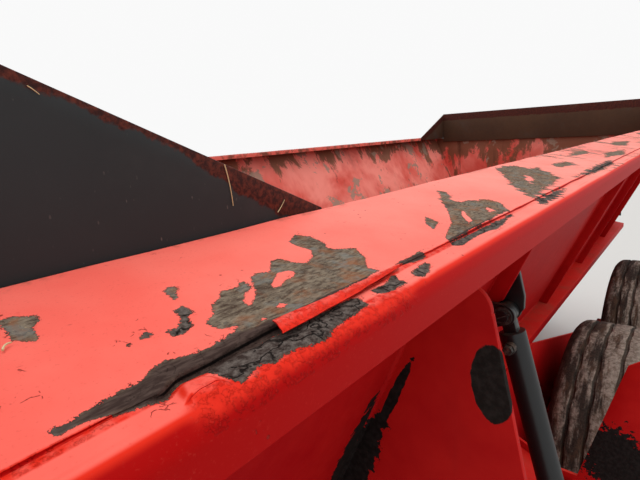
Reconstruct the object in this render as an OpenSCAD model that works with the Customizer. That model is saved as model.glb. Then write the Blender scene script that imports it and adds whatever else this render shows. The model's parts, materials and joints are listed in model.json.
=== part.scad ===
// Side discharge manure spreader with a V-shaped tank, twin floor augers,
// a side rotor with a lifting door, and a tandem of walking beams.
// X points forward to the hitch, Y to the discharge side and Z up.
// The origin lies on the ground under the middle of the whole machine.

/* [Tank] */
// Length of the tank over its end walls
tank_l = 5160; // [4200:10:6000]
// Thickness of the side sheets
sheet = 6; // [4:1:10]
// Thickness of the front and rear walls
end_sheet = 6; // [4:1:10]
// Distance from the middle to the outside of a side sheet at the seam height
seam_half = 652; // [600:1:700]
// Height of the seam where the long ledge sits
seam_z = 1038; // [1000:1:1080]
// Sideways run of a side sheet for each unit of height
wall_lean = 0.452; // [0.40:0.01:0.50]

/* [Top rail] */
// Reach of the rail inside the side sheet's outer face
rail_over = 105.5; // [90:0.5:120]
// Height of the inner edge of the rail
rail_in_z = 1820; // [1780:1:1860]
// Width of the rail seen from above
rail_w = 180; // [160:1:200]
// Drop of the rail's top from its inner to its outer edge
rail_fall = 30; // [20:1:40]
// Thickness of the rail's plate
rail_t = 6; // [5:1:8]
// Height of the rail's outer face
rail_face = 32; // [24:1:45]
// Height of the rail's inner lip
rail_lip = 25; // [20:1:30]

/* [Guards] */
// Height of the front splash guard above the rail
guard_h = 450; // [300:10:600]
// Length of the front guard's wings along the rail
guard_run = 996; // [700:1:1200]
// Thickness of the guards' steel plate
guard_t = 6; // [5:1:10]
// Height of the rear board above the rail
board_h = 215; // [150:5:300]
// Length of the rear board's wings along the rail
board_run = 500; // [300:10:700]
// Thickness of the rear board
board_t = 20; // [12:1:30]
// Depth to which guards and board reach below the rail's inner edge
guard_lap = 24; // [12:1:24]

/* [Ribs and ledge] */
// Thickness of the upright ribs on the side sheets
rib_t = 10; // [6:1:14]
// Sideways reach of a rib from the side sheet
rib_out = 40; // [30:1:50]
// Distance of the first rib behind the tank's front
first_rib_back = 600; // [500:10:700]
// Distance of the first rib behind the cylinder's own rib from the tank's front
next_rib_back = 2910; // [2700:10:3000]
// Distance between the rear ribs
rib_step = 800; // [600:10:850]
// Sideways reach of the long ledge from the side sheet
ledge_out = 79; // [60:1:90]
// Drop of the ledge's top from the sheet to its outer edge
ledge_fall = 14; // [4:1:24]
// Height of the ledge's down-turned lip
ledge_lip = 34; // [20:1:45]
// Thickness of the ledge's plate
ledge_t = 6; // [4:1:8]

/* [Augers] */
// Distance from the middle to an auger's axis
auger_y = 235; // [233:1:240]
// Height of the augers' axes
auger_z = 740; // [730:1:760]
// Inside radius of the trough under an auger
trough_r = 250; // [244:1:256]
// Outside radius of an auger's flight
flight_r = 228; // [215:1:230]
// Pitch of the flight
flight_pitch = 300; // [240:10:360]
// Thickness of the flight
flight_t = 10; // [8:1:14]
// Radius of an auger's tube
auger_tube_r = 57; // [50:1:70]
// Radius of the journals in the bearings
journal_r = 30; // [25:1:35]
// Radial clearance of every running fit
run_gap = 0.05; // [0.03:0.01:0.08]

/* [Discharge housing] */
// Position of the housing's front plate behind the tank's front
housing_back = 1170; // [1000:10:1400]
// Inside length of the housing
housing_l = 804; // [700:1:900]
// Thickness of the housing's end plates
plate_t = 10; // [8:1:12]
// Distance from the middle to the rotor's axis
rotor_y = 760; // [755:1:770]
// Height of the rotor's axis
rotor_z = 620; // [610:1:630]
// Radius swept by the rotor's hammers
rotor_r = 248; // [235:1:250]
// Inside radius of the housing shell
shell_r = 268; // [262:1:274]
// Thickness of the housing shell and hood
shell_t = 6; // [4:1:8]
// Distance from the middle to the door's hinge
hinge_y = 1000; // [990:1:1010]
// Height of the door's hinge
hinge_z = 812; // [806:1:820]
// Radius of the hinge pin
hinge_r = 12; // [10:1:14]
// Reach of the end plates past the door's hinge
hinge_guard = 190; // [180:1:220]
// Length of the door below its hinge
door_drop = 318; // [300:1:330]
// Thickness of the door plate
door_t = 8; // [6:1:10]

/* [Door cylinder] */
// Position of the cylinder behind the tank's front
ram_back = 1577; // [1500:1:1650]
// Distance from the middle to the upper pin
ram_y = 921; // [915:1:930]
// Height of the upper pin
ram_z = 1500; // [1480:1:1520]
// Reach of the rod's eye from the door hinge, sideways
eye_out = 110; // [100:1:116]
// Reach of the rod's eye from the door hinge, upwards
eye_up = 14; // [6:1:20]
// Play of the rod's eye round the door's pin
eye_play = 7.5; // [6:0.5:9]
// Outside radius of the barrel
barrel_r = 28; // [24:1:32]
// Length from the upper pin to the barrel's lower end
barrel_l = 440; // [400:1:460]
// Radius of the rod
rod_r = 14; // [10:1:16]
// Radius of the cylinder's pins
pin_r = 12.5; // [10:0.5:14]

/* [Running gear] */
// Outside radius of a tyre
tyre_r = 500; // [470:1:520]
// Width of a tyre
tyre_w = 380; // [340:1:400]
// Distance from the middle to the centre of a tyre
track_half = 1010; // [1005:1:1030]
// Distance between the axles of one walking beam
axle_gap = 1190; // [1120:10:1260]
// Position of the beam's pivot behind the tank's front
pivot_back = 3405; // [3200:5:3500]
// Height of the beam's pivot
pivot_z = 400; // [380:1:420]
// Thickness of a walking beam
beam_t = 50; // [40:1:52]
// Radius of the rim's bead seat
rim_r = 205; // [190:1:230]
// Radius of a wheel spindle
spindle_r = 35; // [30:1:40]

/* [Frame and drawbar] */
// Height of the frame beams' underside
frame_z = 374; // [360:1:380]
// Depth of the frame beams and drawbar
frame_h = 100; // [90:1:104]
// Width of a frame beam
frame_w = 80; // [60:1:100]
// Reach of the drawbar in front of the tank
draw_l = 1750; // [1500:10:2000]
// Radius of the hitch pin's bore
hitch_r = 16; // [13:0.5:20]
// Height of the driveline's axis
drive_z = 640; // [620:1:680]
// Length of the driveline
line_l = 860; // [800:10:900]
// Radius of the splined bore in the driveline's yoke
spline_r = 17.5; // [15:0.5:22.5]
// Height to which the jack's foot is lowered above the ground
jack_foot_z = 0; // [0:1:100]

/* [Hidden] */
$fn = 48;

red = "firebrick";
black = [0.13, 0.12, 0.11];
steel = "dimgray";

// Places along the machine
lamp_reach = 90;
front_x = (tank_l + lamp_reach - draw_l) / 2;
rear_x = front_x - tank_l;
tip_x = front_x + draw_l;
in_front = front_x - end_sheet;
in_rear = rear_x + end_sheet;
plate_x = front_x - housing_back;
plate_rear_x = plate_x - 2 * plate_t - housing_l;
ram_x = front_x - ram_back;
pivot_x = front_x - pivot_back;
axle_x = [pivot_x + axle_gap / 2, pivot_x - axle_gap / 2];

// Section of the tank: y of a side sheet's outside at height z
function wall_y(z) = seam_half + wall_lean * (z - seam_z);
lean = atan(wall_lean);
out_n = [cos(lean), -sin(lean)];
sheet_y = sheet / cos(lean);

// Point where the straight side sheet runs into the trough's arc
trough_out = trough_r + sheet;
tangent = [auger_y + trough_out * out_n[0], auger_z + trough_out * out_n[1]];
foot_z = tangent[1];
beyond = [auger_y + 2 * trough_out * out_n[0], auger_z + 2 * trough_out * out_n[1]];

// Distance from the middle to the inner edge of the rail
rail_in_half = wall_y(rail_in_z) - rail_over;

// Underside of the rail's top plate at distance y
rail_slope = rail_fall / rail_w;
function rail_top(y) = rail_in_z - (y - rail_in_half) * rail_slope;
function rail_under(y) = rail_top(y) - rail_t * sqrt(1 + rail_slope * rail_slope);

// Height at which a line parallel to the side sheet, offset by dy, meets the rail's underside
function rise_z(dy) =
  (rail_under(0) - rail_slope * (seam_half + dy - wall_lean * seam_z)) / (1 + rail_slope * wall_lean);

// Steps between neighbours
clear = 5;
fit = 0.2;

// A plate drawn in y and z and laid from x0 to x1
module section(x0, x1) {
  translate([x0, 0, 0]) rotate([90, 0, 90]) linear_extrude(x1 - x0) children();
}

// A plate drawn in x and z and laid from y0 to y1
module side_plate(y0, y1) {
  translate([0, y1, 0]) rotate([90, 0, 0]) linear_extrude(y1 - y0) children();
}

// The same thing on both sides of the machine
module both() {
  children();
  mirror([0, 1, 0]) children();
}

module rod_x(x0, x1, y, z, r) {
  translate([x0, y, z]) rotate([0, 90, 0]) cylinder(h = x1 - x0, r = r);
}

module rod_y(y0, y1, x, z, r) {
  translate([x, y1, z]) rotate([90, 0, 0]) cylinder(h = y1 - y0, r = r);
}

// Side sheet, straight from the rail down to the trough
module sheet_section() {
  polygon([[wall_y(foot_z), foot_z], [wall_y(rise_z(0)), rise_z(0)],
    [wall_y(rise_z(-sheet_y)) - sheet_y, rise_z(-sheet_y)],
    [tangent[0] - sheet * out_n[0], foot_z - sheet * out_n[1]]]);
}

module wall_left() {
  color(red) difference() {
    section(in_rear, in_front) sheet_section();
    discharge_cut();
  }
}

// Opening in the side sheet between the auger and the rotor
mouth_low = 690;
mouth_high = 925;
module discharge_cut() {
  translate([plate_rear_x + plate_t, 0, mouth_low])
    cube([housing_l, wall_y(mouth_high) + sheet, mouth_high - mouth_low]);
}

module wall_right() {
  color(red) mirror([0, 1, 0]) section(in_rear, in_front) sheet_section();
}

// Twin trough with a ridge between the augers
module trough_section(r) {
  for (side = [-1, 1]) translate([side * auger_y, auger_z]) circle(r = r, $fn = 96);
}

module trough() {
  color(red) section(in_rear, in_front) difference() {
    trough_section(trough_out);
    trough_section(trough_r);
    polygon([[0, auger_z - sqrt(pow(trough_r, 2) - pow(auger_y, 2)) + 1],
      [-auger_y, auger_z], [-beyond[0], beyond[1]], [-beyond[0], rail_in_z],
      [beyond[0], rail_in_z], beyond, [auger_y, auger_z]]);
  }
}

// Outline of an end wall, from the trough up to the rail
cap_z = rail_in_z - rail_lip - 1;
module end_outline() {
  for (m = [0, 1]) mirror([m, 0]) polygon([[0, auger_z], [auger_y, auger_z], tangent,
    [wall_y(cap_z), cap_z], [rail_in_half, cap_z], [rail_in_half - guard_t, rail_in_z], [0, rail_in_z]]);
  trough_section(trough_out);
  translate([-auger_y, auger_z - trough_out]) square([2 * auger_y, trough_out]);
}

module shaft_holes() {
  for (side = [-1, 1]) translate([side * auger_y, auger_z]) circle(r = journal_r + clear);
}

// Upright stiffeners on an end wall, each [y, lowest z]
stiff_w = 50;
stiff_d = 40;
stiff_top = rail_in_z - 60;
module stiffeners(x0) {
  for (s = [[-480, 1060], [480, 1060]])
    translate([x0, s[0] - stiff_w / 2, s[1]]) cube([stiff_d, stiff_w, stiff_top - s[1]]);
}

module front_wall() {
  color(red) {
    section(in_front, front_x) difference() { end_outline(); shaft_holes(); }
    stiffeners(front_x);
  }
}

module rear_wall() {
  color(red) {
    section(rear_x, in_rear) difference() { end_outline(); shaft_holes(); }
    stiffeners(rear_x - stiff_d);
  }
}

// Formed rail: sloping top, outer face and inner lip
rail_out_half = rail_in_half + rail_w;
rail_out_z = rail_in_z - rail_fall;
module rail_section() {
  polygon([[rail_in_half, rail_in_z], [rail_out_half, rail_out_z],
    [rail_out_half, rail_out_z - rail_face], [rail_out_half - rail_t, rail_out_z - rail_face],
    [rail_out_half - rail_t, rail_under(rail_out_half - rail_t)],
    [rail_in_half + rail_t, rail_under(rail_in_half + rail_t)],
    [rail_in_half + rail_t, rail_in_z - rail_lip], [rail_in_half, rail_in_z - rail_lip]]);
}

module rail_left() {
  color("red") section(rear_x, front_x) rail_section();
}

module rail_right() {
  color("red") mirror([0, 1, 0]) section(rear_x, front_x) rail_section();
}

// Front splash guard and its wings, inside the rails
module guard_front() {
  color(black) translate([in_front - guard_t, -rail_in_half + guard_t, rail_in_z - 60])
    cube([guard_t, 2 * (rail_in_half - guard_t), guard_h + 60]);
}

module guard_wings() {
  wing_x = front_x - guard_run;
  color(black) both() side_plate(rail_in_half - guard_t, rail_in_half)
    polygon([[wing_x, rail_in_z - guard_lap], [in_front, rail_in_z - guard_lap],
      [in_front, rail_in_z + guard_h], [wing_x, rail_in_z]]);
}

module rear_board() {
  color("saddlebrown") translate([in_rear, -rail_in_half + guard_t, rail_in_z - 60])
    cube([board_t, 2 * (rail_in_half - guard_t), board_h + 60]);
}

module rear_wings() {
  wing_x = rear_x + board_run;
  color("saddlebrown") both() side_plate(rail_in_half - guard_t, rail_in_half)
    polygon([[wing_x, rail_in_z - guard_lap], [wing_x, rail_in_z],
      [in_rear, rail_in_z + board_h], [in_rear, rail_in_z - guard_lap]]);
}

// Ribs stand on the ledge and run up under the rail
rib_x = [front_x - first_rib_back, ram_x, for (i = [0 : 2]) front_x - next_rib_back - i * rib_step];
function ledge_top(dy) = seam_z + 2 - ledge_fall * dy / ledge_out;
seat = 0.01;
ledge_in = [wall_y(ledge_top(0)) + seat, ledge_top(0)];
ledge_y = wall_y(seam_z) + ledge_out;
ledge_slope = (ledge_in[1] - ledge_top(ledge_out)) / (ledge_y - ledge_in[0]);
rib_foot_y = (wall_y(ledge_in[1] + ledge_slope * ledge_in[0]) + rib_out) / (1 + wall_lean * ledge_slope);
module rib_section() {
  polygon([ledge_in, [rib_foot_y, ledge_in[1] - ledge_slope * (rib_foot_y - ledge_in[0])],
    [wall_y(rise_z(rib_out)) + rib_out, rise_z(rib_out)], [wall_y(rise_z(0)), rise_z(0)]]);
}

// The rib behind the cylinder's upper pin is notched round the barrel's lug
ram_lug_r = 22;
module wall_ribs() {
  color(red) for (x = rib_x) {
    mirror([0, 1, 0]) section(x - rib_t / 2, x + rib_t / 2) rib_section();
    section(x - rib_t / 2, x + rib_t / 2) difference() {
      rib_section();
      if (x == ram_x) translate([ram_y, ram_z]) circle(r = ram_lug_r + clear);
    }
  }
}

// Long ledge, broken on the discharge side by the housing's plates and seated a hair off the sheet
module ledge_section() {
  polygon([ledge_in, [ledge_y, ledge_top(ledge_out)],
    [ledge_y, ledge_top(ledge_out) - ledge_lip], [ledge_y - ledge_t, ledge_top(ledge_out) - ledge_lip],
    [ledge_y - ledge_t, ledge_top(ledge_out) - ledge_t],
    [wall_y(ledge_top(0) - ledge_t) + seat, ledge_top(0) - ledge_t]]);
}

module wall_ledges() {
  color("red") {
    section(rear_x, plate_rear_x) ledge_section();
    section(plate_rear_x + plate_t, plate_x - plate_t) ledge_section();
    section(plate_x, front_x) ledge_section();
    mirror([0, 1, 0]) section(rear_x, front_x) ledge_section();
  }
}

// Places where the shell's and the hood's edges lie
lip_angle = -20;
shell_out = shell_r + shell_t;
hood_in_z = 985;
hood_out_y = hinge_y - 34;
hood_out_z = hinge_z + 14;

// Front end plate, from under the rail down round the shell; the top corner is rounded
plate_low = rotor_z - shell_out - 30;
plate_wide = hinge_y + hinge_guard;
plate_top_z = 1697;
plate_top_y = plate_wide - 166;
plate_corner = 40;
plate_bend = [plate_wide - 111, 1431];
plate_hip_z = 860;
plate_knee_z = 560;
plate_toe_y = plate_wide - 110;
plate_heel_y = 560;
module front_outline() {
  difference() {
    union() {
      polygon([[wall_y(foot_z), foot_z], [wall_y(plate_top_z), plate_top_z],
        [plate_top_y - plate_corner, plate_top_z], [plate_top_y + 6, plate_top_z - plate_corner],
        plate_bend, [plate_wide, plate_hip_z], [plate_wide, plate_knee_z], [plate_toe_y, plate_low],
        [plate_heel_y, plate_low], [tangent[0], foot_z - 60]]);
      translate([plate_top_y - plate_corner + 5, plate_top_z - plate_corner]) circle(r = plate_corner);
    }
    translate([rotor_y, rotor_z]) circle(r = journal_r + clear);
    trough_section(trough_out + fit);
  }
}

// Rear end plate, which also shields the tyre
shield_low = [hinge_y + 15, hinge_z + 38];
shield_bend = [plate_wide - 76, 1241];
shield_top = [plate_wide - 50, 1262];
module rear_outline() {
  difference() {
    polygon([[wall_y(foot_z), foot_z], [wall_y(seam_z - 60), seam_z - 60],
      [wall_y(seam_z - 60) + 60, seam_z - 60], [hood_out_y, shield_low[1]], shield_low,
      shield_bend, shield_top, [plate_wide, shield_top[1]], [plate_wide, plate_knee_z],
      [plate_toe_y, plate_low], [plate_heel_y, plate_low], [tangent[0], foot_z - 60]]);
    translate([rotor_y, rotor_z]) circle(r = journal_r + clear);
    trough_section(trough_out + fit);
  }
}

module housing_ends() {
  color(red) {
    section(plate_x - plate_t, plate_x) front_outline();
    section(plate_rear_x, plate_rear_x + plate_t) rear_outline();
    rod_x(plate_rear_x, plate_x, hinge_y, hinge_z, hinge_r);
  }
}

// Half-round shell under the rotor
module shell_section() {
  translate([rotor_y, rotor_z]) difference() {
    circle(r = shell_out, $fn = 96);
    circle(r = shell_r, $fn = 96);
    polygon([[0, 0], [2000 * cos(lip_angle), 2000 * sin(lip_angle)], [2000, 2000], [-2000, 2000],
      [-2000, 0]]);
  }
}

module housing_shell() {
  color(red) section(plate_rear_x + plate_t, plate_x - plate_t) difference() {
    shell_section();
    wall_side();
  }
}

// Everything on the tank's side of the side sheet's outside
module wall_side() {
  polygon([[wall_y(0), 0], [wall_y(2000), 2000], [-2000, 2000], [-2000, 0]]);
}

module hood() {
  color(red) section(plate_rear_x + plate_t, plate_x - plate_t)
    polygon([[wall_y(hood_in_z), hood_in_z], [hood_out_y, hood_out_z],
      [hood_out_y, hood_out_z - shell_t], [wall_y(hood_in_z - shell_t), hood_in_z - shell_t]]);
}

// Door, its sleeve on the hinge pin and the two ears for the rod's eye
door_gap = 6;
sleeve_r = hinge_r + 6;
eye = [hinge_y + eye_out, hinge_z + eye_up];
ear_t = 12;
ear_gap = 30;
module door() {
  x0 = plate_rear_x + plate_t + door_gap;
  x1 = plate_x - plate_t - door_gap;
  foot_y = hinge_y + 30;
  color(red) difference() {
    union() {
      rod_x(x0, x1, hinge_y, hinge_z, sleeve_r);
      section(x0, x1) polygon([[hinge_y + 6, hinge_z], [hinge_y + 6 + door_t, hinge_z],
        [foot_y + door_t, hinge_z - door_drop], [foot_y, hinge_z - door_drop]]);
      for (side = [-1, 1]) {
        xm = ram_x + side * (ear_gap + ear_t) / 2;
        section(xm - ear_t / 2, xm + ear_t / 2) {
          translate(eye) circle(r = 24);
          polygon([[hinge_y, hinge_z - 60], [eye[0] + 14, eye[1] - 20], [eye[0] - 8, eye[1] + 22],
            [hinge_y, hinge_z + sleeve_r]]);
        }
      }
    }
    rod_x(x0 - 1, x1 + 1, hinge_y, hinge_z, hinge_r + run_gap);
  }
  pin_reach = ear_gap / 2 + ear_t + 6;
  color(red) rod_x(ram_x - pin_reach, ram_x + pin_reach, eye[0], eye[1], pin_r);
}

// Bracket that holds the cylinder's upper pin: a short ear in front and a tall gusset behind
ear_r = 24;
gusset_up = 114;
gusset_out = 30;
function front_ear() = [[ram_y, ram_z - ear_r], [ram_y, ram_z + ear_r],
  [wall_y(ram_z + ear_r), ram_z + ear_r], [wall_y(ram_z - 60), ram_z - 60]];
function rear_ear() = [[ram_y + 12, ram_z - 20], [ram_y + gusset_out, ram_z + 6],
  [ram_y + gusset_out, ram_z + 36], [wall_y(ram_z + gusset_up) + 20, ram_z + gusset_up],
  [wall_y(ram_z + gusset_up), ram_z + gusset_up], [wall_y(ram_z - 60), ram_z - 60]];
module ram_bracket() {
  color(black) {
    for (side = [-1, 1]) {
      xm = ram_x + side * (ear_gap + ear_t) / 2;
      section(xm - ear_t / 2, xm + ear_t / 2) difference() {
        union() {
          translate([ram_y, ram_z]) circle(r = ear_r);
          polygon(side > 0 ? front_ear() : rear_ear());
        }
        wall_side();
      }
    }
    rod_x(ram_x - ear_gap / 2 - ear_t - 8, ram_x + ear_gap / 2 + ear_t + 8, ram_y, ram_z, pin_r);
  }
}

// Cylinder drawn along its own axis, from the upper pin down to the door's eye
ram_len = norm(eye - [ram_y, ram_z]);
ram_turn = atan2(eye[0] - ram_y, ram_z - eye[1]);
tube_in = rod_r + run_gap;
lug_t = 24;
rod_eye_r = 32;
rod_top = 260;
module along_ram() {
  translate([ram_x, ram_y, ram_z]) rotate([ram_turn, 0, 0]) children();
}

module ram_barrel() {
  color(black) along_ram() difference() {
    union() {
      rod_x(-lug_t / 2, lug_t / 2, 0, 0, ram_lug_r);
      translate([-lug_t / 2, -14, -46]) cube([lug_t, 28, 46]);
      translate([0, 0, -barrel_l]) cylinder(h = barrel_l - 44, r = barrel_r);
      translate([0, 0, -barrel_l]) cylinder(h = 30, r = barrel_r + 4);
    }
    translate([0, 0, -barrel_l - 1]) cylinder(h = barrel_l - 80, r = tube_in);
    rod_x(-lug_t, lug_t, 0, 0, pin_r + run_gap);
  }
}

module ram_rod() {
  color("silver") along_ram() difference() {
    union() {
      translate([0, 0, -ram_len + 15]) cylinder(h = ram_len - 15 - rod_top, r = rod_r);
      rod_x(-lug_t / 2, lug_t / 2, 0, -ram_len, rod_eye_r);
    }
    rod_x(-lug_t, lug_t, 0, -ram_len, pin_r + eye_play);
  }
}

// Rotor: shaft, drum and hammers; each hammer row is [x share of the drum, turn]
rotor_x0 = plate_rear_x + plate_t + 10;
rotor_x1 = plate_x - plate_t - 10;
drum_r = 70;
hammer_n = 8;
hammer_t = 16;
hammer_w = 70;
shaft_end_x = front_x + 60;
module rotor() {
  step = (rotor_x1 - rotor_x0 - hammer_t - 20) / (hammer_n - 1);
  color(steel) {
    rod_x(plate_rear_x - 60, shaft_end_x, rotor_y, rotor_z, journal_r);
    rod_x(rotor_x0, rotor_x1, rotor_y, rotor_z, drum_r);
    for (i = [0 : hammer_n - 1]) translate([rotor_x0 + 10 + i * step, rotor_y, rotor_z])
      rotate([i % 2 * 90, 0, 0]) intersection() {
        translate([0, -hammer_w / 2, -rotor_r]) cube([hammer_t, hammer_w, 2 * rotor_r]);
        rotate([0, 90, 0]) cylinder(h = hammer_t, r = rotor_r);
      }
  }
}

// Fixed tube round the rotor's long shaft
guard_r = 52;
module shaft_guard() {
  color(black) difference() {
    rod_x(plate_x + bearing_t, front_x, rotor_y, rotor_z, guard_r);
    rod_x(plate_x, front_x + 1, rotor_y, rotor_z, guard_r - 6);
  }
}

// Auger tubes with their journals
auger_end = 16;
bearing_t = 45;
module auger_shaft(y) {
  color(steel) {
    rod_x(in_rear + auger_end, in_front - auger_end, y, auger_z, auger_tube_r);
    rod_x(rear_x - bearing_t - 6, front_x + bearing_t + 6, y, auger_z, journal_r);
  }
}

module auger_left_shaft() {
  auger_shaft(auger_y);
  color(steel) for (i = [0 : 3]) translate([plate_rear_x + 130 + i * 180, auger_y, auger_z])
    rotate([i * 90, 0, 0]) translate([0, -60, auger_tube_r - 8])
      cube([flight_t, 120, flight_r - auger_tube_r + 2]);
}

module auger_right_shaft() { auger_shaft(-auger_y); }

// Helical flight from x0 to x1; hand is 1 or -1
flight_steps = 18;
flight_in_r = (auger_tube_r + 0.1) / cos(180 / flight_steps);
module flight(x0, x1, y, hand) {
  n = round((x1 - x0 - flight_t) / flight_pitch * flight_steps);
  dx = (x1 - x0 - flight_t) / n;
  ring = [[0, flight_in_r], [0, flight_r], [flight_t, flight_r], [flight_t, flight_in_r]];
  points = [for (i = [0 : n], p = ring)
    let (a = hand * i * 360 / flight_steps) [i * dx + p[0], p[1] * cos(a), p[1] * sin(a)]];
  sides = [for (i = [0 : n - 1], j = [0 : 3])
    let (a = i * 4 + j, b = i * 4 + (j + 1) % 4, c = b + 4, d = a + 4,
      s = j == 2 ? [b, c, d, a] : [a, b, c, d])
    hand > 0 ? s : [s[2], s[1], s[0], s[3]]];
  first = hand > 0 ? [3, 2, 1, 0] : [0, 1, 2, 3];
  last = [for (j = first) n * 4 + 3 - j];
  triangles = [for (s = sides) each [[s[0], s[1], s[2]], [s[0], s[2], s[3]]]];
  translate([x0, y, auger_z]) polyhedron(points, concat(triangles, [first, last]));
}

flight_x0 = in_rear + auger_end + 4;
flight_x1 = in_front - auger_end - 4;
module auger_left_flight() {
  color(steel) {
    flight(flight_x0, plate_rear_x + 80, auger_y, 1);
    flight(plate_x - 40, flight_x1, auger_y, -1);
  }
}

module auger_right_flight() {
  color(steel) flight(flight_x0, flight_x1, -auger_y, -1);
}

// Flange bearings: both ends of both augers and three along the rotor shaft
bearing_r = 72;
module bearing(x0, y, z) {
  difference() {
    union() {
      rod_x(x0, x0 + bearing_t, y, z, 52);
      children();
    }
    rod_x(x0 - 1, x0 + bearing_t + 1, y, z, journal_r + run_gap);
  }
}

module bearings() {
  color("gray") {
    for (side = [-1, 1]) {
      bearing(front_x, side * auger_y, auger_z)
        rod_x(front_x, front_x + 14, side * auger_y, auger_z, bearing_r);
      bearing(rear_x - bearing_t, side * auger_y, auger_z)
        rod_x(rear_x - 14, rear_x, side * auger_y, auger_z, bearing_r);
    }
    bearing(plate_x, rotor_y, rotor_z) rod_x(plate_x, plate_x + 14, rotor_y, rotor_z, bearing_r);
    bearing(plate_rear_x - bearing_t, rotor_y, rotor_z)
      rod_x(plate_rear_x - 14, plate_rear_x, rotor_y, rotor_z, bearing_r);
  }
}

// Frame beams under the trough, carried through to the drawbar
frame_top = frame_z + frame_h;
module frame_beams() {
  color(red) both() translate([rear_x + 60, auger_y - frame_w / 2, frame_z])
    cube([tank_l - 60, frame_w, frame_h]);
}

// Saddles between the beams and the trough, two of them over the bolster
bolster_h = 110;
bolster_w = 120;
saddle_t = 12;
saddle_x = [front_x - tank_l * 0.035, front_x - tank_l * 0.194, front_x - tank_l * 0.446,
  pivot_x + bolster_w / 2, pivot_x - bolster_w / 2, rear_x + tank_l * 0.047];
module saddle_section() {
  difference() {
    polygon([[-400, frame_top], [400, frame_top], [462, foot_z - 25], [440, foot_z + 20],
      [-440, foot_z + 20], [-462, foot_z - 25]]);
    trough_section(trough_out + fit);
    translate([-auger_y, auger_z - 90]) square([2 * auger_y, 200]);
  }
}

module saddles() {
  color(red) for (x = saddle_x) section(x - saddle_t / 2, x + saddle_t / 2) saddle_section();
}

// Two converging bars of the drawbar, cut square at both ends
hitch_x = tip_x - 170;
bar_in_y = 42;
draw_run = hitch_x - front_x;
draw_turn = atan2(auger_y - bar_in_y, draw_run);
function bar_mid(x) = auger_y - (x - front_x) * tan(draw_turn);
function bar_face(x) = bar_mid(x) + frame_w / 2 / cos(draw_turn);
module drawbar() {
  cross_half = auger_y - frame_w / 2 - 9;
  color(red) {
    both() intersection() {
      translate([front_x, auger_y, frame_z]) rotate([0, 0, -draw_turn])
        translate([-200, -frame_w / 2, 0]) cube([draw_run + 500, frame_w, frame_h]);
      translate([front_x, 0, frame_z - 1]) cube([draw_run, 1000, frame_h + 2]);
    }
    translate([front_x + 80, -cross_half, frame_z + 10]) cube([60, 2 * cross_half, frame_h - 20]);
  }
}

// Hitch clevis: block, two ears and the upright pin's bore
ear_l = 110;
jaw = 56;
hitch_half = 82;
pin_x = tip_x - 52;
module hitch() {
  color(steel) difference() {
    union() {
      translate([hitch_x, -hitch_half, frame_z]) cube([tip_x - ear_l - hitch_x, 2 * hitch_half, frame_h]);
      translate([hitch_x, -52, frame_z]) cube([pin_x - hitch_x, 104, frame_h]);
      translate([pin_x, 0, frame_z]) cylinder(h = frame_h, r = 52);
    }
    translate([tip_x - ear_l, -200, frame_z + (frame_h - jaw) / 2]) cube([ear_l + 60, 400, jaw]);
    translate([pin_x, 0, frame_z - 1]) cylinder(h = frame_h + 2, r = hitch_r);
  }
}

// Parking jack on the side of the drawbar
jack_x = front_x + draw_l * 0.4686;
jack_y = auger_y;
jack_r = 38;
jack_top = 900;
jack_tube_z = 210;
jack_lug = 50;
module jack() {
  color(black) {
    difference() {
      translate([jack_x, jack_y, jack_tube_z]) cylinder(h = jack_top - jack_tube_z, r = jack_r);
      translate([jack_x, jack_y, jack_tube_z - 1]) cylinder(h = 501, r = jack_r - 6);
    }
    translate([jack_x, jack_y, jack_foot_z + 12]) cylinder(h = 640, r = jack_r - 6.2);
    translate([jack_x, jack_y, jack_foot_z]) cylinder(h = 12, r = 100);
    rod_x(jack_x - jack_r - 14, jack_x + jack_r + 14, jack_y, jack_tube_z + 60, 8);
    translate([0, 0, frame_z + 10]) linear_extrude(frame_h - 20)
      polygon([[jack_x - jack_lug, bar_face(jack_x - jack_lug)],
        [jack_x + jack_lug, bar_face(jack_x + jack_lug)],
        [jack_x + jack_lug, jack_y - jack_r + 4], [jack_x - jack_lug, jack_y - jack_r + 4]]);
    rod_y(jack_y, jack_y + 130, jack_x, jack_top - 40, 9);
    translate([jack_x - 9, jack_y + 112, jack_top - 40]) cube([18, 18, 60]);
  }
}

// Drive cover across the front wall, a closed box of sheet with holes for the shafts
cover_d = 200;
cover_y0 = -430;
cover_y1 = 880;
cover_z0 = 490;
cover_z1 = 1030;
cover_t = 4;
module drive_cover() {
  color(red) difference() {
    section(front_x, front_x + cover_d) cover_outline(0);
    section(front_x + cover_t, front_x + cover_d - cover_t) cover_outline(cover_t);
    for (side = [-1, 1]) rod_x(front_x - 1, front_x + cover_t + 1, side * auger_y, auger_z, bearing_r + 6);
    rod_x(front_x - 1, front_x + cover_t + 1, rotor_y, rotor_z, journal_r + clear);
  }
}

module cover_outline(inset) {
  polygon([[cover_y0 + inset, cover_z0 + inset], [cover_y1 - inset, cover_z0 + inset],
    [cover_y1 - inset, 760 - inset * 0.5], [cover_y1 - 270 - inset * 0.5, cover_z1 - inset],
    [cover_y0 + inset, cover_z1 - inset]]);
}

// Gearbox on the cover with its input stub
gear_d = 150;
stub_l = 98;
module gearbox() {
  color("gray") {
    translate([front_x + cover_d, -100, drive_z - 100]) cube([gear_d, 200, 200]);
    rod_x(front_x + cover_d + gear_d, front_x + cover_d + gear_d + 26, 0, drive_z, 60);
    rod_x(front_x + cover_d + gear_d, front_x + cover_d + gear_d + stub_l, 0, drive_z, 18);
  }
}

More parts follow.
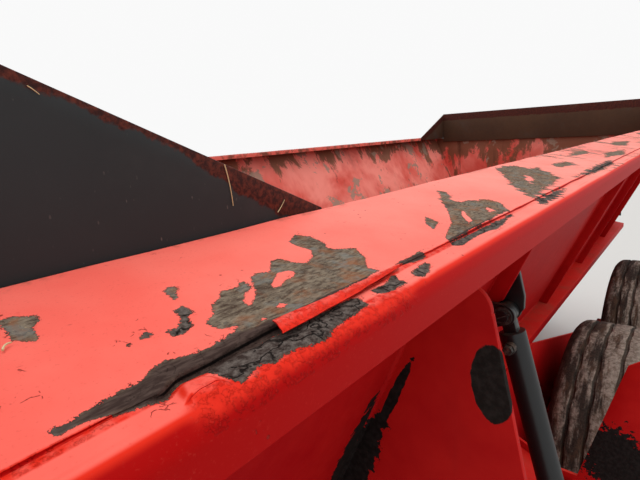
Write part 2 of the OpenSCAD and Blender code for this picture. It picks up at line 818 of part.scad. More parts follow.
// Driveline parked on its stand: yokes, guard tubes and bells
line_x0 = front_x + cover_d + gear_d + 30;
line_x1 = line_x0 + line_l;
yoke_l = 90;
module driveline() {
  color(black) {
    difference() {
      rod_x(line_x0, line_x0 + yoke_l, 0, drive_z, 40);
      rod_x(line_x0 - 1, line_x0 + yoke_l - 20, 0, drive_z, 18 + fit);
    }
    rod_x(line_x0 + yoke_l - 20, line_x0 + yoke_l + 60, 0, drive_z, 62);
    rod_x(line_x0 + yoke_l + 60, line_x1 - 320, 0, drive_z, 44);
    rod_x(line_x1 - 320, line_x1 - 130, 0, drive_z, 36);
    rod_x(line_x1 - 190, line_x1 - 110, 0, drive_z, 62);
  }
  color(steel) difference() {
    union() {
      rod_x(line_x1 - 112, line_x1 - 20, 0, drive_z, 38);
      rod_x(line_x1 - 60, line_x1, 0, drive_z, 34);
    }
    rod_x(line_x1 - 76, line_x1 + 1, 0, drive_z, spline_r);
  }
}

// Stand that cradles the driveline above the drawbar
stand_x = line_x1 - 250;
stand_y = bar_mid(stand_x);
module driveline_stand() {
  color(steel) {
    difference() {
      translate([stand_x - 6, -60, frame_top + 12]) cube([12, 120, drive_z - frame_top + 10]);
      rod_x(stand_x - 20, stand_x + 20, 0, drive_z, 36 + 0.3);
      translate([stand_x - 20, -36.3, drive_z]) cube([40, 72.6, 80]);
    }
    translate([stand_x - 30, -stand_y - 20, frame_top]) cube([60, 2 * stand_y + 40, 12]);
  }
}

// Bolster under the frame beams between the brace plates
brace_y = ledge_y;
brace_t = 10;
module bolster() {
  color(red) difference() {
    translate([pivot_x - bolster_w / 2, -brace_y, frame_z - bolster_h])
      cube([bolster_w, 2 * brace_y, bolster_h]);
    translate([pivot_x - bolster_w / 2 + 10, -brace_y - 1, frame_z - bolster_h + 10])
      cube([bolster_w - 20, 2 * brace_y + 2, bolster_h - 20]);
  }
}

// Brace plates from the ledges down to the pivots, with the pivot stubs
brace_top = ledge_top(ledge_out) - 4;
brace_front_x = pivot_x + axle_gap * 1.155;
brace_bend_x = pivot_x + axle_gap * 0.77;
beam_in = brace_y + brace_t + 8;
beam_out = beam_in + beam_t;
stub_r = 45;
module brace_plates() {
  color(red) both() {
    side_plate(brace_y, brace_y + brace_t)
      polygon([[brace_front_x, brace_top], [brace_bend_x, brace_top - 16], [pivot_x + 50, pivot_z + 323],
        [pivot_x - 130, pivot_z + 220], [pivot_x - 150, frame_z - bolster_h],
        [pivot_x + 250, frame_z - bolster_h], [brace_front_x - 175, tyre_r + 100],
        [brace_front_x, brace_top - 162]]);
    rod_y(brace_y + brace_t, beam_out + 12, pivot_x, pivot_z, stub_r);
    rod_y(beam_out + 4, beam_out + 12, pivot_x, pivot_z, stub_r + 12);
    rod_y(brace_y + brace_t, beam_in - 1, pivot_x, pivot_z, stub_r + 20);
  }
}

// Walking beams, bent down to the pivot, with the wheel spindles
spindle_end = track_half + 60;
module walking_beams() {
  color(red) both() {
    difference() {
      side_plate(beam_in, beam_out) {
        polygon([[axle_x[0] + 40, tyre_r - 75], [axle_x[0] + 60, tyre_r + 60], [axle_x[0] - 80, tyre_r + 75],
          [pivot_x, pivot_z + 110], [axle_x[1] + 80, tyre_r + 75], [axle_x[1] - 60, tyre_r + 60],
          [axle_x[1] - 40, tyre_r - 75], [pivot_x - 120, pivot_z - 95], [pivot_x + 120, pivot_z - 95]]);
      }
      rod_y(beam_in - 1, beam_out + 1, pivot_x, pivot_z, stub_r + run_gap);
    }
    for (x = axle_x) rod_y(beam_out, spindle_end, x, tyre_r, spindle_r);
  }
}

// Wheel: rim with a dished disc and a hub on the spindle
rim_half = 160;
flange_r = rim_r + 20;
hub_in = beam_out + 6;
hub_r = 72;
hub_out = track_half + 95;
module wheel_body() {
  rotate([90, 0, 0]) rotate_extrude($fn = 96) {
    polygon([[rim_r - 12, -rim_half], [flange_r, -rim_half], [flange_r, -rim_half + 8], [rim_r, -rim_half + 8],
      [rim_r, rim_half - 8], [flange_r, rim_half - 8], [flange_r, rim_half], [rim_r - 12, rim_half],
      [rim_r - 12, 30], [hub_r, 10], [hub_r, 0], [rim_r - 12, 14]]);
  }
}

module wheel(x) {
  color("lightgray") difference() {
    union() {
      translate([x, track_half, tyre_r]) rotate([0, 0, 180]) wheel_body();
      rod_y(hub_in, hub_out, x, tyre_r, hub_r);
      rod_y(hub_out, hub_out + 14, x, tyre_r, 44);
    }
    rod_y(hub_in - 1, spindle_end + 5, x, tyre_r, spindle_r + run_gap);
  }
}

module wheel_front_left() { wheel(axle_x[0]); }
module wheel_rear_left() { wheel(axle_x[1]); }
module wheel_front_right() { mirror([0, 1, 0]) wheel(axle_x[0]); }
module wheel_rear_right() { mirror([0, 1, 0]) wheel(axle_x[1]); }

// Tyre section: bead, sidewall, shoulder and tread with four grooves
groove_w = 14;
groove_d = 12;
groove_y = [-105, -38, 38, 105];
tread_half = tyre_w / 2 - 22;
bead_half = rim_half - 8.3;
module tyre_section() {
  difference() {
    polygon([[rim_r + 0.3, -bead_half], [flange_r + 2, -bead_half], [flange_r + 22, -bead_half - 2],
      [rim_r + 90, -tyre_w / 2 + 8],
      [tyre_r - 150, -tyre_w / 2], [tyre_r - 60, -tyre_w / 2 + 6], [tyre_r - 22, -tread_half],
      [tyre_r - 4, -tread_half + 22], [tyre_r, -60], [tyre_r, 60], [tyre_r - 4, tread_half - 22],
      [tyre_r - 22, tread_half], [tyre_r - 60, tyre_w / 2 - 6], [tyre_r - 150, tyre_w / 2],
      [rim_r + 90, tyre_w / 2 - 8], [flange_r + 22, bead_half + 2], [flange_r + 2, bead_half],
      [rim_r + 0.3, bead_half]]);
    polygon([[rim_r, -bead_half + 26], [rim_r + 70, -tyre_w / 2 + 32], [tyre_r - 120, -tyre_w / 2 + 28],
      [tyre_r - 45, -tread_half + 30], [tyre_r - 45, tread_half - 30], [tyre_r - 120, tyre_w / 2 - 28],
      [rim_r + 70, tyre_w / 2 - 32], [rim_r, bead_half - 26]]);
    for (y = groove_y) translate([tyre_r - groove_d, y - groove_w / 2]) square([groove_d + 5, groove_w]);
  }
}

module tyre(x) {
  color([0.15, 0.14, 0.13]) translate([x, track_half, tyre_r]) rotate([90, 0, 0])
    rotate_extrude($fn = 96) tyre_section();
}

module tyre_front_left() { tyre(axle_x[0]); }
module tyre_rear_left() { tyre(axle_x[1]); }
module tyre_front_right() { mirror([0, 1, 0]) tyre(axle_x[0]); }
module tyre_rear_right() { mirror([0, 1, 0]) tyre(axle_x[1]); }

// Ladder on the front wall
ladder_y = -720;
ladder_half = 170;
ladder_z = [560, 860, 1160, 1460];
ladder_off = 150;
module ladder() {
  x = front_x + ladder_off;
  color(red) {
    for (side = [-1, 1]) translate([x, ladder_y + side * ladder_half - 5, ladder_z[0] - 60])
      cube([50, 10, ladder_z[3] + 300 - ladder_z[0]]);
    for (z = ladder_z) translate([x + 10, ladder_y - ladder_half + 5, z]) cube([30, 2 * ladder_half - 10, 20]);
    for (side = [-1, 1]) translate([front_x, ladder_y + side * ladder_half - 5, ladder_z[3] + 120])
      cube([ladder_off, 10, 50]);
    translate([front_x, ladder_y + ladder_half - 5, ladder_z[2] + 40]) cube([ladder_off, 10, 50]);
  }
}

// Lamp bar across the rear wall with a pair of round lamps at each end
bar_z = 1080;
bar_half = 700;
module lamp_bar() {
  color(black) translate([rear_x - 52, -bar_half, bar_z]) cube([12, 2 * bar_half, 60]);
}

lamp_y = [-640, -520, 520, 640];
module lamps() {
  color("orange") for (y = lamp_y) rod_x(rear_x - lamp_reach, rear_x - 52, y, bar_z + 30, 45);
}

// Blank warning triangle on the rear wall
sign_half = 203;
sign_z = 1300;
module sign() {
  color("orangered") section(rear_x - 4, rear_x)
    polygon([[-sign_half, sign_z], [sign_half, sign_z], [30, sign_z + 340], [-30, sign_z + 340]]);
}

wall_left();
wall_right();
trough();
front_wall();
rear_wall();
rail_left();
rail_right();
guard_front();
guard_wings();
rear_board();
rear_wings();
wall_ribs();
wall_ledges();
housing_ends();
housing_shell();
hood();
door();
ram_bracket();
ram_barrel();
ram_rod();
rotor();
shaft_guard();
auger_left_shaft();
auger_left_flight();
auger_right_shaft();
auger_right_flight();
bearings();
frame_beams();
saddles();
drawbar();
hitch();
jack();
drive_cover();
gearbox();
driveline();
driveline_stand();
bolster();
brace_plates();
walking_beams();
wheel_front_left();
wheel_rear_left();
wheel_front_right();
wheel_rear_right();
tyre_front_left();
tyre_rear_left();
tyre_front_right();
tyre_rear_right();
ladder();
lamp_bar();
lamps();
sign();
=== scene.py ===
"""Looks of a weathered side discharge manure spreader, dressed on its fixed frame."""
import json
import logging
import math
from dataclasses import dataclass
from enum import Enum
from typing import Any, Callable, Iterable, Sequence

import bpy
from mathutils import Matrix, Vector, noise

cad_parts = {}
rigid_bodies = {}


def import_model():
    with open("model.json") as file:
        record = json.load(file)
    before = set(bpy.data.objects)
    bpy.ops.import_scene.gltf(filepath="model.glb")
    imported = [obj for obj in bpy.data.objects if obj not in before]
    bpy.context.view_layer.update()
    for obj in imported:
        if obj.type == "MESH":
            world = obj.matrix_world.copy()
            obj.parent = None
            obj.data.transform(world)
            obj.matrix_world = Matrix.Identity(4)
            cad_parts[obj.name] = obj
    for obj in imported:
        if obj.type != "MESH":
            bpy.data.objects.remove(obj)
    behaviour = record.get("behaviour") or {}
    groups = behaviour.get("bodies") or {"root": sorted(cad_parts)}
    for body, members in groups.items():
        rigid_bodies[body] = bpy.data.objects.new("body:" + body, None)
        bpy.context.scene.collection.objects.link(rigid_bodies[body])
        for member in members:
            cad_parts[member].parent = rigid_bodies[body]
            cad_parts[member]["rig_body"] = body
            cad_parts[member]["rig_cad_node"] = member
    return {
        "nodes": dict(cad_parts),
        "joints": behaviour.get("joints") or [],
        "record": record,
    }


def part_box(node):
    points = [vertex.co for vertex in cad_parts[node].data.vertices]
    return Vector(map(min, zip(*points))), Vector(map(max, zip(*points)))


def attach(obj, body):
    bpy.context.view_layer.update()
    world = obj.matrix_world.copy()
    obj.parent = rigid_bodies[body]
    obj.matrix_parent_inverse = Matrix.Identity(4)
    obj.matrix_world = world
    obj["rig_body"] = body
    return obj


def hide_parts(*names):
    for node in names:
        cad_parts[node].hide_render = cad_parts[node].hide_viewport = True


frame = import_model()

Socket = bpy.types.NodeSocket
Tree = bpy.types.NodeTree
Node = bpy.types.Node
Piece = bpy.types.Object
Material = bpy.types.Material
Shade = tuple[float, float, float, float]
Place = tuple[float, float, float]
Spot = tuple[Sequence[float], Sequence[float]]

LOG = logging.getLogger("spreader")
ROOT = "spreader"
SHARP_DEGREES = 32
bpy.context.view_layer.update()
TANK_SHEETS = ("wall_left", "wall_right", "trough", "front_wall", "rear_wall")
SOFT_NODES = {
    "guard_front": 0.0012, "guard_wings": 0.0012, "rear_board": 0.0030, "rear_wings": 0.0015,
    "wall_ribs": 0.0016, "wall_ledges": 0.0020, "housing_ends": 0.0018, "hood": 0.0015, "door": 0.0014,
    "ram_bracket": 0.0016, "ram_barrel": 0.0012, "bearings": 0.0016, "gearbox": 0.0060,
    "drive_cover": 0.0015, "driveline": 0.0030, "driveline_stand": 0.0012, "frame_beams": 0.0040,
    "drawbar": 0.0040, "hitch": 0.0030, "jack": 0.0015, "bolster": 0.0020, "brace_plates": 0.0018,
    "walking_beams": 0.0030, "saddles": 0.0012, "wheel_front_left": 0.0018, "wheel_front_right": 0.0018,
    "wheel_rear_left": 0.0018, "wheel_rear_right": 0.0018, "ladder": 0.0015, "lamp_bar": 0.0020,
    "sign": 0.0008}


def linear(level: float) -> float:
    """Turn one level that a screen shows, 0 to 255, into the share of light that it stands for."""
    share = level / 255
    return share / 12.92 if share <= 0.04045 else ((share + 0.055) / 1.055) ** 2.4


def shade(red: int, green: int, blue: int) -> Shade:
    """Turn a colour as a screen shows it into the linear one that a shader takes.

    Args:
        red: Red, 0 to 255.
        green: Green, 0 to 255.
        blue: Blue, 0 to 255.

    Returns:
        The linear colour with an alpha of 1.
    """
    return linear(red), linear(green), linear(blue), 1.0


RED = {"colour": shade(164, 8, 14), "faded_and_lit": shade(232, 52, 42)}
# Dark mark along the joint of a plate and a side sheet: partly black dirt, partly painted shade in the
# joint.
JOINT_DIRT_AND_SHADE = {"colour": shade(24, 18, 17), "turn": -24.3}


class Wiring:
    """Short calls for adding and joining the nodes of one node tree."""

    def __init__(self, tree: Tree) -> None:
        """Keep the tree that the calls work on."""
        self.tree = tree

    def add(self, kind: str, inputs: dict[Any, Any] | None = None, **settings: Any) -> Node:
        """Add a node.

        Args:
            kind: The node's type without its leading ShaderNode.
            inputs: Socket names or numbers with a value or a socket to link.
            settings: Properties of the node itself.

        Returns:
            The new node.
        """
        node = self.tree.nodes.new("ShaderNode" + kind)
        for key, value in settings.items():
            setattr(node, key, value)
        for key, value in (inputs or {}).items():
            self.feed(node.inputs[key], value)
        return node

    def feed(self, socket: Socket, value: Any) -> None:
        """Link a socket to a socket, or set its value."""
        if isinstance(value, Socket):
            self.tree.links.new(value, socket)
        else:
            socket.default_value = value

    def math(self, operation: str, first: Any, second: Any = 0.0,
             clamp: bool = False) -> Socket:
        """Return the result of an operation on two values."""
        node = self.add("Math", {0: first, 1: second}, operation=operation, use_clamp=clamp)
        return node.outputs[0]

    def plus(self, first: Any, *others: Any, clamp: bool = False) -> Socket:
        """Return the sum of values, kept from 0 to 1 where it is clamped."""
        for other in others:
            first = self.math("ADD", first, other, clamp)
        return first

    def times(self, first: Any, *others: Any) -> Socket:
        """Return the product of values."""
        for other in others:
            first = self.math("MULTIPLY", first, other)
        return first

    def minus(self, first: Any, second: Any) -> Socket:
        """Return the first value less the second."""
        return self.math("SUBTRACT", first, second)

    def most(self, first: Any, *others: Any) -> Socket:
        """Return the greatest of values."""
        for other in others:
            first = self.math("MAXIMUM", first, other)
        return first

    def size(self, value: Any) -> Socket:
        """Return a value without its sign."""
        return self.math("ABSOLUTE", value)

    def swing(self, value: Any, amount: Any, middle: float = 0.5) -> Socket:
        """Return how far a noise is from its middle, times an amount."""
        return self.times(self.minus(value, middle), amount)

    def axes(self, vector: Any) -> Any:
        """Return the three parts of a vector."""
        return self.add("SeparateXYZ", {0: vector}).outputs

    def normal(self) -> Socket:
        """Return the direction that a face looks in."""
        return self.add("NewGeometry").outputs["Normal"]

    def up(self) -> Socket:
        """Return how far a face looks up, from -1 to 1."""
        return self.axes(self.normal())[2]

    def ramp(self, value: Any, low: float, high: float, start: float = 0.0,
             end: float = 1.0) -> Socket:
        """Return a value that runs smoothly from start at low to end at high."""
        node = self.add("MapRange", {0: value, 1: low, 2: high, 3: start, 4: end},
                        interpolation_type="SMOOTHSTEP")
        return node.outputs[0]

    def mix(self, share: Any, first: Any, second: Any, blend: str = "MIX") -> Socket:
        """Return a mix of two colours."""
        node = self.add("Mix", {0: share, 6: first, 7: second}, data_type="RGBA", blend_type=blend)
        return node.outputs[2]

    def noise(self, vector: Any, scale: Any, detail: float = 4.0, rough: float = 0.55,
              warp: float = 0.0) -> Socket:
        """Return a fractal noise between about 0.2 and 0.8.

        Args:
            vector: Where the noise is read.
            scale: How fine it is.
            detail: How many finer layers it has.
            rough: Share of the finer layers.
            warp: How far it is bent.

        Returns:
            The noise.
        """
        node = self.add("TexNoise", {"Vector": vector, "Scale": scale, "Detail": detail, "Roughness": rough,
                                     "Distortion": warp})
        return node.outputs[0]

    def bump(self, shader: Node, height: Any, distance: float, strength: float) -> None:
        """Roughen a shader's surface by a height."""
        node = self.add("Bump", {"Height": height, "Distance": distance, "Strength": strength})
        self.feed(shader.inputs["Normal"], node.outputs[0])

    def sway(self, vector: Any, scale: float, detail: float, far: float) -> Socket:
        """Return coordinates that a coloured noise moves aside.

        Args:
            vector: The coordinates.
            scale: How fine the noise is.
            detail: How many finer layers it has.
            far: How far it moves them.

        Returns:
            The moved coordinates.
        """
        tint = self.add("TexNoise", {"Vector": vector, "Scale": scale, "Detail": detail}).outputs[1]
        moved = self.add("VectorMath", {0: tint, 1: (far, far, far), 2: vector}, operation="MULTIPLY_ADD")
        return moved.outputs[0]

    def cells(self, vector: Any, scale: float) -> Socket:
        """Return the distance to the edges of irregular cells."""
        texture = self.add("TexVoronoi", {"Vector": vector, "Scale": scale}, feature="DISTANCE_TO_EDGE")
        return texture.outputs[0]

    def place(self) -> Socket:
        """Return the object's own coordinates."""
        return self.add("TexCoord").outputs["Object"]

    def stretch(self, vector: Any, scale: Sequence[float],
                turn: Sequence[float] = (0, 0, 0)) -> Socket:
        """Return coordinates that are stretched and turned."""
        return self.add("Mapping", {"Vector": vector, "Scale": scale, "Rotation": turn}).outputs[0]


class EffectLibrary:
    """Shader groups that more than one finish uses, each built once."""

    FLOAT = "NodeSocketFloat"
    COLOUR = "NodeSocketColor"
    VECTOR = "NodeSocketVector"

    def __init__(self) -> None:
        """Build every group."""
        self.chipped = self._chipped()
        self.bare_metal = self._bare_metal()
        self.dust = self._dust()
        self.streaks = self._streaks()

    def _group(self, name: str, inputs: Iterable[tuple[str, str, Any]],
               outputs: Iterable[tuple[str, str]]) -> tuple[Tree, Wiring, dict[str, Any], Any]:
        """Start a group.

        Args:
            name: The group's name.
            inputs: Name, socket type and default value of each input.
            outputs: Name and socket type of each output.

        Returns:
            The group's tree, its wiring, its inputs by name and its output node.
        """
        tree = bpy.data.node_groups.new(name, "ShaderNodeTree")
        for label, kind, value in inputs:
            socket = tree.interface.new_socket(label, in_out="INPUT", socket_type=kind)
            if value is not None:
                socket.default_value = value
        for label, kind in outputs:
            tree.interface.new_socket(label, in_out="OUTPUT", socket_type=kind)
        given = tree.nodes.new("NodeGroupInput")
        out = tree.nodes.new("NodeGroupOutput")
        return tree, Wiring(tree), {s.name: s for s in given.outputs if s.name}, out

    def _chipped(self) -> Tree:
        """Mask of lost paint, with a ragged edge, from noise and a given field."""
        tree, w, given, out = self._group(
            "chipped paint",
            [("Vector", self.VECTOR, None), ("Field", self.FLOAT, 0.0), ("Scale", self.FLOAT, 8.0),
             ("Spread", self.FLOAT, 1.0), ("Level", self.FLOAT, 0.7), ("Ragged", self.FLOAT, 0.25)],
            [("Mask", self.FLOAT), ("Rim", self.FLOAT)])
        wide = w.noise(given["Vector"], given["Scale"], 5, 0.6, 0.3)
        fine_scale = w.times(given["Scale"], 9.0)
        fine = w.noise(given["Vector"], fine_scale, 5, 0.65)
        total = w.plus(w.swing(wide, given["Spread"]), 0.5, w.swing(fine, given["Ragged"]), given["Field"])
        over = w.minus(total, given["Level"])
        w.feed(out.inputs["Mask"], w.ramp(over, -0.004, 0.006))
        w.feed(out.inputs["Rim"], w.ramp(w.size(over), 0.0, 0.05, 1.0, 0.0))
        return tree

    def _bare_metal(self) -> Tree:
        """Colour and height of weathered bare metal with thin rust."""
        tree, w, given, out = self._group(
            "bare metal",
            [("Vector", self.VECTOR, None), ("Scale", self.FLOAT, 60.0),
             ("Dark", self.COLOUR, shade(70, 55, 52)), ("Grey", self.COLOUR, shade(150, 142, 136)),
             ("Rust", self.COLOUR, shade(150, 100, 62))],
            [("Color", self.COLOUR), ("Height", self.FLOAT)])
        grain = w.noise(w.stretch(given["Vector"], (0.35, 1, 1)), w.times(given["Scale"], 6.0), 6, 0.7)
        blotch = w.noise(given["Vector"], given["Scale"], 5, 0.6, 0.4)
        tint = w.noise(given["Vector"], w.times(given["Scale"], 0.6), 3, 0.5)
        colour = w.mix(w.ramp(grain, 0.30, 0.68), given["Dark"], given["Grey"])
        colour = w.mix(w.ramp(blotch, 0.46, 0.70, 0.0, 0.75), colour, given["Rust"])
        colour = w.mix(w.ramp(tint, 0.50, 0.75, 0.0, 0.6), colour, given["Dark"])
        cool = w.noise(given["Vector"], w.times(given["Scale"], 0.9), 4, 0.6, 0.6)
        colour = w.mix(w.ramp(cool, 0.52, 0.66, 0.0, 0.55), colour, shade(118, 120, 116))
        specks = w.noise(given["Vector"], w.times(given["Scale"], 14.0), 3, 0.6)
        colour = w.mix(w.ramp(specks, 0.62, 0.72, 0.0, 0.6), colour, shade(186, 164, 124))
        w.feed(out.inputs["Color"], colour)
        w.feed(out.inputs["Height"], w.plus(w.times(blotch, 0.6), w.times(grain, 0.4)))
        return tree

    def _dust(self) -> Tree:
        """Mask of dust and splashed dirt that lies thicker on level faces."""
        tree, w, given, out = self._group(
            "dust",
            [("Vector", self.VECTOR, None), ("Scale", self.FLOAT, 5.0), ("Amount", self.FLOAT, 0.3),
             ("Level faces", self.FLOAT, 0.3)],
            [("Mask", self.FLOAT)])
        wide = w.noise(given["Vector"], given["Scale"], 6, 0.65, 0.5)
        specks = w.noise(given["Vector"], w.times(given["Scale"], 30.0), 3, 0.6)
        lying = w.times(w.most(w.up(), 0.0), given["Level faces"])
        total = w.plus(wide, lying, w.times(specks, 0.18), given["Amount"])
        w.feed(out.inputs["Mask"], w.ramp(total, 0.78, 1.15))
        return tree

    def _streaks(self) -> Tree:
        """Mask of stains that run down a wall."""
        tree, w, given, out = self._group(
            "running stains",
            [("Vector", self.VECTOR, None), ("Scale", self.FLOAT, 9.0), ("Amount", self.FLOAT, 0.2)],
            [("Mask", self.FLOAT)])
        drawn = w.noise(w.stretch(given["Vector"], (1.0, 1.0, 0.12)), given["Scale"], 5, 0.6, 0.2)
        cloud = w.noise(given["Vector"], w.times(given["Scale"], 0.3), 3, 0.5)
        total = w.plus(w.times(drawn, 0.7), w.times(cloud, 0.4), given["Amount"])
        w.feed(out.inputs["Mask"], w.ramp(total, 0.68, 0.95))
        return tree


@dataclass(frozen=True)
class Mark:
    """A ragged spot of wear, grease, dirt, or dirt with painted shade, at one place on a finish."""

    centre: Place
    half: Place
    colour: Shade
    turn: float = 0.0
    ragged: float = 0.5
    grain: float = 45.0

    def mask(self, w: Wiring, place: Any) -> Socket:
        """Wire the spot's mask.

        Args:
            w: The material's wiring.
            place: Coordinates on the piece.

        Returns:
            The mask of an ellipsoid with a ragged edge.
        """
        tilt = (math.radians(self.turn), 0, 0)
        local = w.add("Mapping", {"Vector": place, "Location": self.centre, "Rotation": tilt,
                                  "Scale": self.half}, vector_type="TEXTURE").outputs[0]
        reach = w.add("VectorMath", {0: local}, operation="LENGTH").outputs["Value"]
        rough = w.swing(w.noise(place, self.grain, 5, 0.65), self.ragged * 2)
        return w.ramp(w.plus(reach, rough), 1.02, 0.97)


@dataclass(frozen=True)
class PaintFinish:
    """A painted finish with fading, chips, bare metal and dirt, and painted sky light on upward faces."""

    name: str
    colour: Shade
    faded_and_lit: Shade
    upward_fade_and_light: float = 0.5
    wear_level: float = 0.82
    wear_scale: float = 6.0
    dirt: Shade = shade(120, 95, 78)
    dirt_amount: float = 0.1
    dirt_scale: float = 3.0
    splash: float = 0.24
    stain: float = 0.05
    rough: float = 0.46
    specular: float = 0.05
    chip_depth: float = 0.0006
    metal_dark: Shade = shade(60, 46, 44)
    metal_grey: Shade = shade(120, 108, 100)
    metal_rust: Shade = shade(120, 70, 45)
    marks: tuple[Mark, ...] = ()

    def base(self, w: Wiring, place: Any) -> Socket:
        """Wire the paint's colour, with painted sky light on upward faces.

        Args:
            w: The material's wiring.
            place: Coordinates on the piece.

        Returns:
            The colour, faded at random, and faded and lit by painted sky light where it looks up.
        """
        patchy = w.noise(place, 2.2, 4, 0.6)
        fine = w.noise(place, 35.0, 4, 0.6)
        # Upward faces take the second colour, partly from sun fading and partly as painted sky light.
        faded_and_lit_upward = w.times(w.most(w.up(), 0.0), self.upward_fade_and_light)
        fade = w.plus(faded_and_lit_upward, w.times(w.ramp(patchy, 0.30, 0.75), 0.22), w.swing(fine, 0.20), clamp=True)
        return w.mix(fade, self.colour, self.faded_and_lit)

    def outside(self, w: Wiring, place: Any) -> Any:
        """Share of the finish's marks that shows on this face."""
        return 1.0

    def material(self, effects: EffectLibrary) -> Material:
        """Wire the finish.

        Args:
            effects: The shared shader groups.

        Returns:
            The new material.
        """
        material, w, shader = start_material(self.name)
        place = w.place()
        fine = w.noise(place, 90.0, 4, 0.6)
        colour = self.base(w, place)
        chips = group(w, effects.chipped, Vector=place, Scale=self.wear_scale, Level=self.wear_level,
                      Spread=1.3, Ragged=0.3)
        metal = group(w, effects.bare_metal, Vector=place, Scale=28.0, Dark=self.metal_dark,
                      Grey=self.metal_grey, Rust=self.metal_rust)
        splashed = w.plus(w.ramp(w.axes(place)[2], 0.80, 0.25, 0.0, self.splash), self.dirt_amount)
        dust = group(w, effects.dust, Vector=place, Scale=self.dirt_scale, Amount=splashed)
        stains = group(w, effects.streaks, Vector=place, Amount=self.stain)
        lost = chips.outputs["Mask"]
        colour = w.mix(lost, colour, metal.outputs["Color"])
        colour = w.mix(w.times(stains.outputs["Mask"], 0.45), colour, shade(58, 30, 28))
        colour = w.mix(w.times(dust.outputs["Mask"], 0.70), colour, self.dirt)
        worn = w.most(lost, dust.outputs["Mask"])
        for mark in self.marks:
            mask = w.times(mark.mask(w, place), self.outside(w, place))
            lighter = tuple(level * 1.6 + 0.004 for level in mark.colour[:3]) + (1.0,)
            tone = w.mix(w.ramp(fine, 0.35, 0.70), mark.colour, lighter)
            colour = w.mix(mask, colour, tone)
            worn = w.most(worn, mask)
            lost = w.most(lost, mask)
        w.feed(shader.inputs["Base Color"], colour)
        gloss = w.plus(self.rough, w.times(fine, 0.18), w.times(worn, 0.3), clamp=True)
        w.feed(shader.inputs["Roughness"], gloss)
        shader.inputs["Specular IOR Level"].default_value = self.specular
        height = w.plus(w.minus(1.0, lost), w.times(metal.outputs["Height"], lost, 0.8), w.times(fine, 0.22))
        w.bump(shader, height, self.chip_depth, 0.9)
        return material


@dataclass(frozen=True)
class TankFinish(PaintFinish):
    """Tank sheets: deep red outside; inside, pale from bleaching and painted sky light, caked with dried
    muck, with painted shade along the top.
    """

    middle: Place = (-0.83, 0.0, 1.6)
    inside: Shade = shade(255, 150, 136)
    inside_deep: Shade = shade(222, 84, 72)
    muck: Shade = shade(112, 84, 62)
    grey_muck: Shade = shade(160, 140, 124)
    dark_muck: Shade = shade(70, 44, 34)

    def outside(self, w: Wiring, place: Any) -> Socket:
        """Find the outer faces.

        Args:
            w: The material's wiring.
            place: Coordinates on the piece.

        Returns:
            Mask of the faces that look away from the tank's middle.
        """
        away = w.add("VectorMath", {0: place, 1: self.middle}, operation="SUBTRACT").outputs[0]
        facing = w.add("VectorMath", {0: w.normal(), 1: away}, operation="DOT_PRODUCT")
        return w.ramp(facing.outputs["Value"], -0.05, 0.0)

    def base(self, w: Wiring, place: Any) -> Socket:
        """Wire the sheet's colour.

        Args:
            w: The material's wiring.
            place: Coordinates on the piece.

        Returns:
            The outer paint, or the inner face where the sheet looks to the middle: dirty, pale from
            bleaching and painted sky light, with painted shade under the lip.
        """
        outer = super().base(w, place)
        axes = w.axes(place)
        within = w.minus(1.0, self.outside(w, place))
        cloud = w.noise(place, 2.4, 4, 0.6, 0.4)
        # The pale inner colours are partly bleached paint and partly painted sky light on the inward faces.
        colour = w.mix(w.ramp(cloud, 0.34, 0.66), self.inside, self.inside_deep)
        drawn = w.noise(w.stretch(place, (1.0, 1.0, 0.50)), 4.2, 7, 0.70, 0.3)
        # The muck band near the top is partly dried muck and partly painted shade under the rail's lip.
        high = w.ramp(axes[2], 1.48, 1.78, 0.0, 0.15)
        low = w.ramp(axes[2], 1.50, 0.95, 0.0, 0.24)
        rear = w.ramp(axes[0], -3.30, -3.38, 0.0, 0.06)
        caked = w.plus(drawn, high, low, rear)
        colour = w.mix(w.ramp(caked, 0.60, 0.655, 0.0, 0.85), colour, self.muck)
        greyed = w.plus(w.noise(place, 3.4, 6, 0.66, 0.2), w.times(low, 0.4))
        colour = w.mix(w.ramp(greyed, 0.560, 0.590, 0.0, 0.85), colour, self.grey_muck)
        runs = w.noise(w.stretch(place, (1.0, 1.0, 0.10)), 13.0, 5, 0.7)
        run_share = w.ramp(w.plus(runs, w.times(rear, 0.5)), 0.60, 0.72, 0.0, 0.6)
        return w.mix(within, outer, w.mix(run_share, colour, self.dark_muck))


